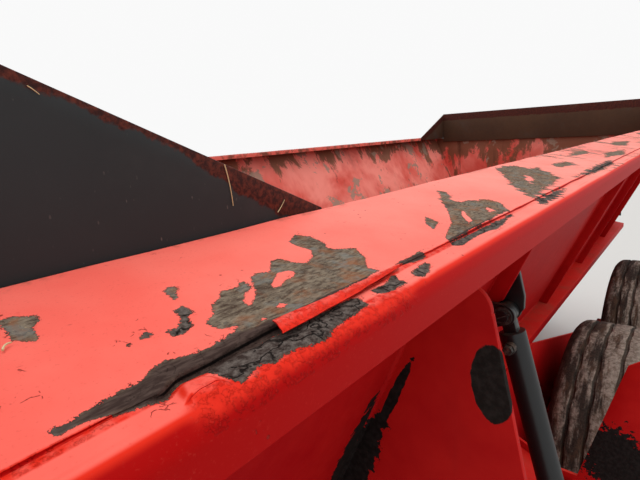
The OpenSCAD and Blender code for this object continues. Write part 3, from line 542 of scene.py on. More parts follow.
@dataclass(frozen=True)
class GuardFinish(PaintFinish):
    """Dark sheet with pale specks whose sloping top edge has rusted through its paint."""

    edge_low: tuple[float, float] = (0.754, 1.82)
    edge_high: tuple[float, float] = (1.744, 2.27)
    rust_wide: float = 0.005
    tail_wide: float = 0.018
    speck: Shade = shade(128, 122, 116)
    rust: Shade = shade(100, 50, 40)
    rust_dark: Shade = shade(54, 32, 30)

    def base(self, w: Wiring, place: Any) -> Socket:
        """Wire the sheet's colour.

        Args:
            w: The material's wiring.
            place: Coordinates on the piece.

        Returns:
            The colour, rusted along the line between the edge's two ends.
        """
        colour = super().base(w, place)
        run = self.edge_high[0] - self.edge_low[0]
        rise = self.edge_high[1] - self.edge_low[1]
        length = math.copysign(math.hypot(run, rise), run)
        across_edge = (rise / length, 0.0, -run / length)
        down = w.add("VectorMath", {0: place, 1: across_edge}, operation="DOT_PRODUCT")
        start = (self.edge_low[0] * rise - self.edge_low[1] * run) / length
        below = w.minus(down.outputs["Value"], start)
        coarse = w.noise(place, 34.0, 6, 0.72, 0.5)
        smear = w.noise(place, 9.0, 4, 0.6)
        tail_from = self.edge_low[0] + 0.20 * run
        tail_to = self.edge_low[0] + 0.06 * run
        tail = w.ramp(w.axes(place)[0], tail_from, tail_to, 0.0, self.tail_wide)
        reach = w.plus(w.swing(coarse, 0.022), self.rust_wide, w.swing(smear, 0.018, 0.45), tail)
        rusted = w.ramp(w.minus(reach, below), -0.0012, 0.0018)
        grain = w.noise(place, 170.0, 5, 0.7)
        rust = w.mix(w.ramp(grain, 0.38, 0.66), self.rust_dark, self.rust)
        flecks = w.stretch(place, (1.0, 1.0, 0.40), (0, 0.5, 0))
        dots = w.add("TexVoronoi", {"Vector": flecks, "Scale": 230.0}, feature="F1").outputs[0]
        sparse = w.ramp(w.noise(place, 60.0, 3, 0.6), 0.52, 0.66)
        specks = w.times(w.ramp(dots, 0.10, 0.20, 1.0, 0.0), sparse)
        colour = w.mix(w.times(specks, 0.55), colour, self.speck)
        haze = w.ramp(w.noise(place, 6.0, 5, 0.65), 0.50, 0.75, 0.0, 0.30)
        colour = w.mix(haze, colour, shade(86, 84, 82))
        return w.mix(rusted, colour, rust)


@dataclass(frozen=True)
class MetalFinish:
    """Unpainted metal with scratches, rust and dried dirt."""

    name: str
    colour: Shade
    dark: Shade
    rust: Shade = shade(112, 66, 42)
    rust_amount: float = 0.0
    dirt: Shade = shade(104, 84, 64)
    dirt_amount: float = 0.1
    rough: float = 0.45
    metallic: float = 0.6

    def material(self, effects: EffectLibrary) -> Material:
        """Wire the finish.

        Args:
            effects: The shared shader groups.

        Returns:
            The new material.
        """
        material, w, shader = start_material(self.name)
        place = w.place()
        scratch = w.noise(w.stretch(place, (0.2, 1.0, 1.0)), 160.0, 4, 0.6)
        colour = w.mix(w.ramp(scratch, 0.35, 0.70), self.dark, self.colour)
        spread = w.plus(w.noise(place, 12.0, 6, 0.7, 0.4), self.rust_amount)
        rusted = w.ramp(spread, 0.54, 0.66)
        dark_rust = tuple(level * 0.5 for level in self.rust[:3]) + (1.0,)
        colour = w.mix(rusted, colour, w.mix(w.ramp(scratch, 0.4, 0.65), dark_rust, self.rust))
        dust = group(w, effects.dust, Vector=place, Scale=6.0, Amount=self.dirt_amount)
        colour = w.mix(w.times(dust.outputs["Mask"], 0.8), colour, self.dirt)
        w.feed(shader.inputs["Base Color"], colour)
        dull = w.most(rusted, dust.outputs["Mask"])
        w.feed(shader.inputs["Roughness"], w.plus(self.rough, w.times(dull, 0.35), clamp=True))
        w.feed(shader.inputs["Metallic"], w.times(w.minus(1.0, dull), self.metallic))
        height = w.plus(scratch, w.times(dull, 1.5))
        w.bump(shader, height, 0.0004, 0.8)
        return material


@dataclass(frozen=True)
class RubberFinish:
    """Tyre rubber with mud dried in bands along the tread."""

    name: str = "muddy rubber"
    rubber: Shade = shade(38, 32, 29)
    worn: Shade = shade(66, 54, 46)
    brown_mud: Shade = shade(82, 62, 48)
    dull_mud: Shade = shade(112, 100, 88)
    pale_mud: Shade = shade(166, 156, 144)
    middle_y: float = 1.01
    grooves: tuple[float, float] = (0.038, 0.105)

    def material(self, effects: EffectLibrary) -> Material:
        """Wire the finish.

        Args:
            effects: The shared shader groups, none of which rubber takes.

        Returns:
            The new material.
        """
        material, w, shader = start_material(self.name)
        place = w.place()
        flat = w.ramp(w.size(w.axes(w.normal())[1]), 0.80, 0.40)
        across = w.size(w.axes(place)[1])
        outer = w.ramp(across, self.middle_y - 0.07, self.middle_y + 0.07)
        fine = w.noise(place, 150.0, 5, 0.65)
        colour = w.mix(w.ramp(fine, 0.35, 0.70), self.rubber, self.worn)
        brown = w.noise(w.stretch(place, (0.7, 1.6, 0.7)), 9.0, 6, 0.7, 0.2)
        colour = w.mix(w.ramp(brown, 0.46, 0.62, 0.0, 0.85), colour, self.brown_mud)
        bands = w.noise(w.stretch(place, (0.45, 2.4, 0.45)), 12.0, 6, 0.66, 0.1)
        crumbs = w.noise(place, 70.0, 5, 0.7)
        thick = w.plus(bands, w.swing(outer, 0.16, 0.75), w.swing(crumbs, 0.14))
        pale = w.times(w.ramp(thick, 0.33, 0.50), w.plus(w.times(flat, 0.66), 0.16))
        from_middle = w.size(w.minus(across, self.middle_y))
        for groove in self.grooves:
            aside = w.size(w.minus(from_middle, groove))
            inside = w.times(w.ramp(aside, 0.0070, 0.0045), flat)
            pale = w.times(pale, w.minus(1.0, w.times(inside, 0.75)))
        colour = w.mix(pale, colour, w.mix(w.ramp(crumbs, 0.35, 0.65), self.dull_mud, self.pale_mud))
        clots = w.noise(place, 46.0, 5, 0.7)
        colour = w.mix(w.ramp(clots, 0.60, 0.72, 0.0, 0.6), colour, shade(38, 26, 22))
        w.feed(shader.inputs["Base Color"], colour)
        w.feed(shader.inputs["Roughness"], w.plus(0.72, w.times(fine, 0.22)))
        shader.inputs["Specular IOR Level"].default_value = 0.2
        height = w.plus(w.times(clots, 0.7), w.times(fine, 0.5), pale)
        w.bump(shader, height, 0.0025, 0.8)
        return material


@dataclass(frozen=True)
class RailFinish:
    """Red enamel that peels from rusted steel, led by the rail's own attributes; its pale top is partly
    sun-bleached and partly painted sky light, with a painted highlight along its bend.
    """

    name: str = "peeling rail enamel"
    # The corner colour is a painted highlight along the bend; the top colours are partly bleached paint and
    # partly painted sky light; the palest top colour is a painted sky reflection.
    side: Shade = shade(170, 8, 8)
    corner: Shade = shade(226, 44, 24)
    near_top: Shade = shade(251, 104, 91)
    top: Shade = shade(255, 120, 106)
    sky_reflection_top: Shade = shade(255, 148, 134)
    fresh: Shade = shade(226, 46, 30)
    scale_dark: Shade = shade(54, 42, 38)
    scale_grey: Shade = shade(110, 100, 94)
    soot: Shade = shade(58, 44, 40)
    soot_grey: Shade = shade(84, 68, 62)
    gap: Shade = shade(18, 13, 12)
    crack: Shade = shade(140, 40, 34)
    worn_edge: Shade = shade(188, 168, 158)
    in_y: float = 0.900

    def material(self, effects: EffectLibrary) -> Material:
        """Wire the finish.

        Args:
            effects: The shared shader groups.

        Returns:
            The new material.
        """
        material, w, shader = start_material(self.name)
        place = w.place()
        state = {name: w.add("Attribute", attribute_name=name).outputs["Fac"]
                 for name in ("bare", "scaly", "sooty", "fresh", "gap")}
        paint = self._paint(w, place, state["fresh"])
        lost, rim, crumbs = self._loss(w, effects, place, state)
        steel, height = self._steel(w, effects, place, state)
        # Steel just beyond a paint edge is darkened, partly rust and partly painted shadow under the raised
        # paint edge.
        steel = w.mix(w.times(rim, 0.55), steel, shade(52, 40, 36))
        calm = w.ramp(state["fresh"], 0.20, 0.50, 1.0, 0.25)
        cracks = w.times(self._cracks(w, place, state["bare"]), calm)
        paint = w.mix(w.times(cracks, 0.75), paint, self.crack)
        colour = w.mix(lost, paint, steel)
        # The near-black gap colour on the seam's step wall is painted shade inside the open seam.
        colour = w.mix(w.ramp(state["gap"], 0.35, 0.75), colour, self.gap)
        w.feed(shader.inputs["Base Color"], colour)
        w.feed(shader.inputs["Roughness"], w.plus(0.50, w.times(lost, 0.30)))
        shader.inputs["Specular IOR Level"].default_value = 0.05
        total = w.plus(w.minus(1.0, lost), w.times(height, lost), w.times(crumbs, 0.5))
        total = w.minus(total, w.times(cracks, 0.5))
        w.bump(shader, total, 0.0009, 1.0)
        return material

    def _paint(self, w: Wiring, place: Any, fresh: Any) -> Socket:
        """Wire the paint that is still there.

        Args:
            w: The material's wiring.
            place: Coordinates on the piece.
            fresh: How fresh the paint is.

        Returns:
            A colour that is pale on the flat top, partly bleached paint and partly painted sky light, paler
            still further off with a painted sky reflection, orange with a painted highlight along the bend,
            deep red on the side and bright where it lifts.
        """
        up = w.up()
        along, aside, _ = w.axes(place)
        patchy = w.noise(place, 11.0, 4, 0.6)
        cloud = w.noise(place, 3.5, 3, 0.5)
        fine = w.noise(place, 520.0, 3, 0.6)
        bleach = w.plus(w.times(patchy, 0.8), w.times(cloud, 0.5))
        top = w.mix(w.ramp(bleach, 0.45, 0.85), self.near_top, self.top)
        # Further off the top turns paler still: a painted reflection of the sky at a grazing angle.
        far = w.times(w.ramp(along, 1.10, 0.30), w.ramp(bleach, 0.40, 0.90, 0.55, 1.0))
        top = w.mix(far, top, self.sky_reflection_top)
        # Between the deep red side and the pale top, the orange bend colour is a painted highlight; the pale
        # top colours are partly bleached paint and partly painted sky light.
        colour = w.mix(w.ramp(up, 0.62, 0.90), self.side, self.corner)
        colour = w.mix(w.ramp(up, 0.86, 0.978), colour, top)
        specks = w.ramp(w.noise(place, 150.0, 4, 0.6), 0.34, 0.62, 0.45, 1.0)
        lively = w.times(w.ramp(fresh, 0.25, 0.70), specks, w.ramp(up, 0.35, 0.80))
        colour = w.mix(lively, colour, self.fresh)
        colour = w.mix(w.times(w.ramp(fine, 0.58, 0.76), 0.30), colour, shade(200, 60, 50))
        return self._inner_edge(w, place, colour, w.size(aside), up, patchy)

    def _inner_edge(self, w: Wiring, place: Any, colour: Any, across: Any, up: Any,
                    patchy: Any) -> Socket:
        """Wear and soil the paint along the rail's inner edge.

        Args:
            w: The material's wiring.
            place: Coordinates on the piece.
            colour: The paint so far.
            across: Distance from the machine's middle.
            up: How far the face looks up.
            patchy: A wide noise.

        Returns:
            The colour with its lip, its worn edge and its grime.
        """
        worn = w.plus(across, w.swing(w.noise(place, 60.0, 4, 0.6), 0.007))
        lip = w.times(w.ramp(across, self.in_y + 0.004, self.in_y + 0.001), w.ramp(up, 0.60, 0.30))
        colour = w.mix(lip, colour, w.mix(w.ramp(patchy, 0.45, 0.60), self.top, shade(150, 84, 70)))
        edge = w.ramp(worn, self.in_y + 0.0022, self.in_y + 0.0006)
        colour = w.mix(w.times(edge, w.ramp(up, 0.30, 0.60, 0.0, 0.8)), colour, self.worn_edge)
        grime = w.ramp(worn, self.in_y + 0.016, self.in_y + 0.003)
        grime = w.times(grime, w.ramp(w.noise(place, 26.0, 5, 0.7), 0.50, 0.68), 0.5)
        return w.mix(grime, colour, shade(120, 78, 58))

    def _loss(self, w: Wiring, effects: EffectLibrary, place: Any,
              state: dict[str, Any]) -> tuple[Any, Any, Any]:
        """Wire where the paint has come off.

        Args:
            w: The material's wiring.
            effects: The shared shader groups.
            place: Coordinates on the piece.
            state: The rail's attributes by name.

        Returns:
            Masks of lost paint, of the rim just inside it and of crumbs of paint.
        """
        along = w.axes(place)[0]
        bare = state["bare"]
        wild = w.ramp(along, 0.78, 0.20, 0.16, 1.0)
        drawn = w.noise(w.stretch(place, (2.4, 0.55, 1.0)), 34.0, 5, 0.68, 0.3)
        torn = w.swing(drawn, w.ramp(along, 0.74, 0.40, 0.0, 2.30))
        field = w.plus(w.minus(bare, 0.5), w.times(torn, w.ramp(bare, 0.0, 0.26)))
        large = group(w, effects.chipped, Vector=place, Field=field, Scale=70.0, Spread=wild, Level=0.5,
                      Ragged=0.30)
        loose = w.times(w.ramp(along, 0.60, -0.10), w.ramp(w.noise(place, 2.6, 3, 0.5), 0.40, 0.62))
        hint = w.plus(w.times(w.ramp(bare, 0.05, 0.42), 0.10), w.times(loose, 0.17))
        small = group(w, effects.chipped, Vector=w.stretch(place, (1.0, 0.50, 1.0)), Field=hint,
                      Scale=w.ramp(along, 0.75, -0.30, 120.0, 30.0), Spread=1.0, Level=0.80, Ragged=0.30)
        flaky = w.noise(w.stretch(place, (2.6, 0.5, 1.0)), 20.0, 6, 0.72, 0.4)
        flaky = w.plus(flaky, w.times(w.noise(place, 4.5, 3, 0.5), 0.35))
        flaky = w.plus(flaky, w.ramp(along, 0.40, -0.20, -0.20, 0.0))
        flakes = w.times(w.ramp(flaky, 0.735, 0.750), w.ramp(w.up(), 0.80, 0.92))
        lost = w.most(large.outputs["Mask"], small.outputs["Mask"], flakes)
        crumbs = w.ramp(w.noise(place, 260.0, 4, 0.7), 0.50, 0.60)
        crumbs = w.times(crumbs, w.ramp(state["fresh"], 0.35, 0.75))
        return lost, large.outputs["Rim"], crumbs

    def _steel(self, w: Wiring, effects: EffectLibrary, place: Any,
               state: dict[str, Any]) -> tuple[Any, Any]:
        """Wire what shows under the paint.

        Args:
            w: The material's wiring.
            effects: The shared shader groups.
            place: Coordinates on the piece.
            state: The rail's attributes by name.

        Returns:
            Colour and height of worn steel, of cracked scale and of the dark fold at the seam.
        """
        metal = group(w, effects.bare_metal, Vector=place, Scale=62.0, Dark=shade(66, 50, 42),
                      Grey=shade(138, 124, 107), Rust=shade(142, 90, 60))
        crust = w.noise(place, 230.0, 6, 0.72)
        scale_colour = w.mix(w.ramp(crust, 0.34, 0.66), self.scale_dark, self.scale_grey)
        plates = w.cells(w.stretch(w.sway(place, 60.0, 4.0, 0.03), (0.45, 1.0, 1.0)), 52.0)
        fissure = w.ramp(plates, 0.0, 0.045, 1.0, 0.0)
        scale_colour = w.mix(w.times(fissure, 0.9), scale_colour, self.gap)
        grain = w.noise(w.stretch(place, (0.25, 1.0, 1.0)), 520.0, 4, 0.6)
        fold = w.mix(w.ramp(grain, 0.36, 0.70), self.soot, self.soot_grey)
        scaly = w.ramp(state["scaly"], 0.40, 0.60)
        sooty = w.ramp(state["sooty"], 0.35, 0.65)
        colour = w.mix(scaly, metal.outputs["Color"], scale_colour)
        colour = w.mix(sooty, colour, fold)
        crusty = w.times(w.minus(w.times(crust, 0.9), w.times(fissure, 1.5)), scaly)
        plain = w.times(metal.outputs["Height"], w.minus(1.0, scaly), 0.6)
        return colour, w.times(w.plus(crusty, plain), w.minus(1.0, w.times(sooty, 0.7)))

    def _cracks(self, w: Wiring, place: Any, bare: Any) -> Socket:
        """Wire the paint's cracks.

        Args:
            w: The material's wiring.
            place: Coordinates on the piece.
            bare: How bare the rail is.

        Returns:
            Mask of short curved cracks and pinholes, thicker near lost paint.
        """
        line = w.ramp(w.cells(w.sway(place, 90.0, 3.0, 0.012), 120.0), 0.010, 0.036, 1.0, 0.0)
        broken = w.ramp(w.noise(place, 210.0, 2, 0.5), 0.47, 0.53)
        where = w.plus(w.noise(place, 42.0, 3, 0.6), w.times(w.ramp(bare, 0.0, 0.45), 0.07))
        holes = w.add("TexVoronoi", {"Vector": place, "Scale": 85.0}, feature="F1").outputs[0]
        pins = w.times(w.ramp(holes, 0.07, 0.11, 1.0, 0.0), w.ramp(w.noise(place, 30.0, 2, 0.5), 0.56, 0.60))
        return w.most(w.times(line, broken, w.ramp(where, 0.635, 0.675)), pins)


def start_material(name: str) -> tuple[Material, Wiring, Node]:
    """Make an empty material.

    Args:
        name: The material's name.

    Returns:
        The material, its wiring and its shader node, joined to the output.
    """
    material = bpy.data.materials.new(name)
    material.use_nodes = True
    tree = material.node_tree
    tree.nodes.clear()
    w = Wiring(tree)
    shader = w.add("BsdfPrincipled")
    out = w.add("OutputMaterial")
    tree.links.new(shader.outputs[0], out.inputs[0])
    return material, w, shader


def group(w: Wiring, tree: Tree, **values: Any) -> Node:
    """Place a shader group in a material.

    Args:
        w: The material's wiring.
        tree: The group.
        values: The group's inputs by name, with a value or a socket.

    Returns:
        The group's node.
    """
    node = w.tree.nodes.new("ShaderNodeGroup")
    node.node_tree = tree
    for key, value in values.items():
        w.feed(node.inputs[key.replace("_", " ")], value)
    return node


@dataclass(frozen=True)
class Viewpoint:
    """The camera that stands where the photograph was taken."""

    place: Place = (1.140, 1.224, 1.898)
    right: Place = (-0.63876, 0.76722, -0.05796)
    up: Place = (-0.20752, -0.09925, 0.97318)
    forward: Place = (-0.74089, -0.63366, -0.22261)
    lens_mm: float = 25.7
    sensor_mm: float = 36.0

    def build(self) -> None:
        """Add the camera and make it the scene's own."""
        data = bpy.data.cameras.new("viewpoint")
        data.lens = self.lens_mm
        data.sensor_width = self.sensor_mm
        data.clip_start = 0.01
        camera = bpy.data.objects.new("viewpoint", data)
        bpy.context.scene.collection.objects.link(camera)
        back = [-c for c in self.forward]
        turn = Matrix((self.right, self.up, back)).transposed().to_quaternion().to_matrix().to_4x4()
        camera.matrix_world = Matrix.Translation(self.place) @ turn
        bpy.context.scene.camera = camera


@dataclass(frozen=True)
class Studio:
    """Pale floor, pale surroundings and plain soft light."""

    floor_half: float = 30.0
    sun_strength: float = 0.9
    sun_width: float = 40
    sun_tilt: tuple[float, float] = (-12, 10)
    floor_colour: Shade = shade(205, 203, 200)
    sky_top: float = 1.05
    sky_side: float = 0.55

    def build(self) -> None:
        """Add the floor, the world and the lamp."""
        bpy.context.scene.view_settings.view_transform = "Standard"
        self._floor()
        self._world()
        lamp = bpy.data.lights.new("soft_sun", "SUN")
        lamp.energy = self.sun_strength
        lamp.angle = math.radians(self.sun_width)
        holder = bpy.data.objects.new("soft_sun", lamp)
        holder.rotation_euler = (math.radians(self.sun_tilt[0]), math.radians(self.sun_tilt[1]), 0)
        bpy.context.scene.collection.objects.link(holder)

    def _floor(self) -> None:
        """Lay the floor under the wheels."""
        select_none()
        bpy.ops.mesh.primitive_plane_add(size=2 * self.floor_half, location=(0, 0, 0))
        floor = bpy.context.object
        floor.name = "floor"
        material, _, shader = start_material("pale floor")
        shader.inputs["Base Color"].default_value = self.floor_colour
        shader.inputs["Roughness"].default_value = 0.9
        floor.data.materials.append(material)

    def _world(self) -> None:
        """Light from a pale dome that is brighter above and white to the camera."""
        world = bpy.data.worlds.new("pale dome")
        world.use_nodes = True
        bpy.context.scene.world = world
        world.node_tree.nodes.clear()
        w = Wiring(world.node_tree)
        height = w.axes(w.add("TexCoord").outputs["Generated"])[2]
        levels = {0: height, 1: 0.0, 2: 0.9, 3: self.sky_side, 4: self.sky_top}
        strength = w.add("MapRange", levels).outputs[0]
        path = w.add("LightPath")
        seen = w.most(path.outputs["Is Camera Ray"],
                      w.most(path.outputs["Is Glossy Ray"], path.outputs["Is Transmission Ray"]))
        dome = w.add("Background", {"Color": (1, 1, 1, 1), "Strength": strength})
        shown = w.add("Background", {"Color": (1, 1, 1, 1), "Strength": 0.95})
        blend = w.add("MixShader", {0: seen, 1: dome.outputs[0], 2: shown.outputs[0]})
        w.add("OutputWorld", {"Surface": blend.outputs[0]})


def select_none() -> None:
    """Deselect every object."""
    if bpy.context.object and bpy.context.object.mode != "OBJECT":
        bpy.ops.object.mode_set(mode="OBJECT")
    bpy.ops.object.select_all(action="DESELECT")


def take(piece: Piece) -> None:
    """Make a piece the only selected and the active object."""
    select_none()
    piece.select_set(True)
    bpy.context.view_layer.objects.active = piece


def apply_modifiers(piece: Piece) -> None:
    """Apply every modifier of a piece."""
    take(piece)
    for modifier in list(piece.modifiers):
        bpy.ops.object.modifier_apply(modifier=modifier.name)


def dress(piece: Piece, material: Material) -> None:
    """Give a piece one material."""
    piece.data.materials.clear()
    piece.data.materials.append(material)


def outward(piece: Piece, crease: float) -> None:
    """Turn a closed piece's faces outwards and smooth all but its creases.

    Args:
        piece: The piece.
        crease: Degrees above which an edge stays sharp.
    """
    take(piece)
    bpy.ops.object.mode_set(mode="EDIT")
    bpy.ops.mesh.select_all(action="SELECT")
    bpy.ops.mesh.normals_make_consistent(inside=False)
    bpy.ops.object.mode_set(mode="OBJECT")
    bpy.ops.object.shade_smooth_by_angle(angle=math.radians(crease))


def closed(piece: Piece, crease: float) -> None:
    """Merge the points where a shaped grid's edges meet, close its ends and smooth it.

    Args:
        piece: The piece.
        crease: Degrees above which an edge stays sharp.
    """
    take(piece)
    bpy.ops.object.mode_set(mode="EDIT")
    bpy.ops.mesh.select_all(action="SELECT")
    bpy.ops.mesh.remove_doubles(threshold=0.00001)
    bpy.ops.mesh.select_all(action="DESELECT")
    bpy.ops.mesh.select_non_manifold()
    bpy.ops.mesh.edge_face_add()
    outward(piece, crease)


def rounded(piece: Piece, width: float, segments: int = 2) -> None:
    """Round a piece's sharp edges.

    Args:
        piece: The piece.
        width: The bevel's width in metres.
        segments: The bevel's segments.
    """
    bevel = piece.modifiers.new("edge", "BEVEL")
    bevel.width = width
    bevel.segments = segments
    bevel.limit_method = "ANGLE"
    bevel.angle_limit = math.radians(SHARP_DEGREES)
    apply_modifiers(piece)
    bpy.ops.object.shade_smooth_by_angle(angle=math.radians(SHARP_DEGREES))


def joined(pieces: Sequence[Piece], name: str) -> Piece:
    """Join pieces into one.

    Args:
        pieces: The pieces, all of which are used up but the first.
        name: The joined piece's name.

    Returns:
        The joined piece.
    """
    select_none()
    for piece in pieces:
        piece.select_set(True)
    bpy.context.view_layer.objects.active = pieces[0]
    if len(pieces) > 1:
        bpy.ops.object.join()
    pieces[0].name = name
    return pieces[0]


def shaped(name: str, columns: int, rows: int,
           shape: Callable[[float, float], Sequence[float]]) -> Piece:
    """Model a piece from a grid whose points are moved to a formula's places.

    Args:
        name: The piece's name.
        columns: Steps in the first direction.
        rows: Steps in the second direction.
        shape: Gives a point's place from its two shares, each from 0 to 1.

    Returns:
        The new piece, closed where its edges meet.
    """
    select_none()
    bpy.ops.mesh.primitive_grid_add(x_subdivisions=columns, y_subdivisions=rows, size=2)
    piece = bpy.context.object
    piece.name = name
    for vertex in piece.data.vertices:
        u = round((vertex.co.x + 1) / 2 * columns) / columns
        v = round((vertex.co.y + 1) / 2 * rows) / rows
        vertex.co = shape(u, v)
    closed(piece, 40)
    return piece


def scattered(model: Piece, spots: Sequence[Spot], name: str) -> Piece:
    """Copy a model, which stands along +Z at the origin, to many spots and join the copies.

    Args:
        model: The model, which is used up.
        spots: Place and direction of each copy.
        name: The joined piece's name.

    Returns:
        The joined piece.
    """
    placed = []
    for place, direction in spots:
        copy = model.copy()
        copy.data = model.data.copy()
        turn = Vector((0, 0, 1)).rotation_difference(Vector(direction)).to_matrix().to_4x4()
        copy.data.transform(Matrix.Translation(place) @ turn)
        bpy.context.scene.collection.objects.link(copy)
        placed.append(copy)
    bpy.data.objects.remove(model, do_unlink=True)
    return joined(placed, name)


@dataclass(frozen=True)
class Step:
    """One turned or hexagonal step of a small fitting that stands along +Z."""

    sides: int
    radius: float
    high: float
    centre_z: float
    top_radius: float | None = None
    tilt: Sequence[float] = (0, 0, 0)

    def add(self) -> None:
        """Add the step to the scene or to the mesh that is being edited."""
        top = self.radius if self.top_radius is None else self.top_radius
        bpy.ops.mesh.primitive_cone_add(vertices=self.sides, radius1=self.radius, radius2=top,
                                        depth=self.high, location=(0, 0, self.centre_z), rotation=self.tilt)


def fitting(first: Step, *others: Step, edge: float = 0.0009) -> Piece:
    """Model a small fitting at the origin from steps in one mesh, with its edges rounded.

    Args:
        first: The step at its foot.
        others: The steps on it.
        edge: The bevel's width in metres.

    Returns:
        The new piece.
    """
    select_none()
    first.add()
    piece = bpy.context.object
    bpy.ops.object.transform_apply(location=True)
    bpy.ops.object.mode_set(mode="EDIT")
    for step in others:
        step.add()
    bpy.ops.object.mode_set(mode="OBJECT")
    rounded(piece, edge, 1)
    return piece


def softened(node: str, width: float) -> Piece:
    """Copy a frame node as a piece with its sharp edges rounded, standing for the node.

    Args:
        node: The node's name.
        width: The bevel's width in metres.

    Returns:
        The new piece, which rides on the node's body.
    """
    source = frame["nodes"][node]
    piece = source.copy()
    piece.data = source.data.copy()
    piece.name = node + "_skin"
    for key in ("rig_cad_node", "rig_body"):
        if key in piece:
            del piece[key]
    piece.parent = None
    bpy.context.scene.collection.objects.link(piece)
    take(piece)
    bpy.ops.object.mode_set(mode="EDIT")
    bpy.ops.mesh.select_all(action="SELECT")
    bpy.ops.mesh.remove_doubles(threshold=0.00002)
    bpy.ops.mesh.dissolve_limited(angle_limit=math.radians(0.6))
    bpy.ops.object.mode_set(mode="OBJECT")
    rounded(piece, width)
    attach(piece, frame["nodes"][node]["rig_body"])
    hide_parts(node)
    return piece


def open_bores(piece: Piece, shafts: Sequence[str], bore_r: float = 0.0309) -> None:
    """Widen a piece's bores a little, so that the facets of turned journals stay clear of them.

    Args:
        piece: The piece with the bores.
        shafts: Nodes that turn in the bores, about an axis along X.
        bore_r: The bores' new radius.
    """
    for shaft in shafts:
        _, y, z = middle(shaft)
        for vertex in piece.data.vertices:
            reach = math.hypot(vertex.co.y - y, vertex.co.z - z)
            if 0.0 < reach < bore_r:
                vertex.co.y = y + (vertex.co.y - y) * bore_r / reach
                vertex.co.z = z + (vertex.co.z - z) * bore_r / reach


def middle(node: str) -> tuple[float, ...]:
    """Return the middle of a frame node's box."""
    low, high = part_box(node)
    return tuple((a + b) / 2 for a, b in zip(low, high))


def ring_angle(share: float, sides: int) -> float:
    """Return the angle of the side nearest to a share of a full turn."""
    return math.tau * (round(share * sides) % sides) / sides


def carried(piece: Piece, body: str, slot: str, material: Material,
            *replaced: str) -> Piece:
    """Dress a new piece and hand it to the frame.

    Args:
        piece: The piece.
        body: The body that it rides on.
        slot: The material slot that it belongs to; not used.
        material: Its material.
        replaced: Nodes that it stands for.

    Returns:
        The piece.
    """
    dress(piece, material)
    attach(piece, body)
    if replaced:
        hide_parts(*replaced)
    LOG.info("%s: %d faces", piece.name, len(piece.data.polygons))
    return piece


class Loss(Enum):
    """What is left where the rail's paint has come off, or stands in its place."""

    STEEL = "worn steel"
    SCALE = "cracked scale"
    SEAM = "dark fold along the weld"
    PAINT = "paint left inside a larger patch"
    BLISTER = "paint lifted in a blister"


@dataclass(frozen=True)
class Chip:
    """One outlined place on the rail's top, in metres."""

    kind: Loss
    outline: tuple[tuple[float, float], ...]

    def near(self, x: float, y: float, margin: float = 0.03) -> bool:
        """Tell whether a point may be touched by the outline.

        Args:
            x: Place along the rail.
            y: Place across the rail.
            margin: Width of the zone round the outline that still matters.

        Returns:
            Whether it is inside the outline's box and its margin.
        """
        xs = [point[0] for point in self.outline]
        ys = [point[1] for point in self.outline]
        return min(xs) - margin < x < max(xs) + margin and min(ys) - margin < y < max(ys) + margin

    def depth(self, x: float, y: float) -> float:
        """Measure how far a point is from the outline.

        Args:
            x: Place along the rail.
            y: Place across the rail.

        Returns:
            The distance, positive inside.
        """
        nearest = 1.0
        inside = False
        for (ax, ay), (bx, by) in zip(self.outline, self.outline[1:] + self.outline[:1]):
            run_x = bx - ax
            run_y = by - ay
            share = ((x - ax) * run_x + (y - ay) * run_y) / (run_x * run_x + run_y * run_y)
            share = min(1.0, max(0.0, share))
            nearest = min(nearest, math.hypot(x - ax - share * run_x, y - ay - share * run_y))
            if (ay > y) != (by > y) and x < ax + run_x * (y - ay) / run_y:
                inside = not inside
        return nearest if inside else -nearest


def outlined(kind: Loss, *corners: tuple[int, int]) -> Chip:
    """Outline a patch by its corners in millimetres along and across the rail."""
    return Chip(kind, tuple((x / 1000, y / 1000) for x, y in corners))


def round_chip(x: float, y: float, half_x: float, half_y: float, kind: Loss = Loss.STEEL) -> Chip:
    """Outline an uneven rounded patch.

    Args:
        x: Place of its middle along the rail.
        y: Place of its middle across the rail.
        half_x: Half its length.
        half_y: Half its width.
        kind: What the patch shows.

    Returns:
        The patch, with ten corners of uneven reach.
    """
    corners = 10
    points = []
    for i in range(corners):
        angle = math.tau * i / corners
        reach = 0.80 + 0.20 * math.sin(2.3 * i + 40 * x)
        points.append((x + half_x * reach * math.cos(angle), y + half_y * reach * math.sin(angle)))
    return Chip(kind, tuple(points))


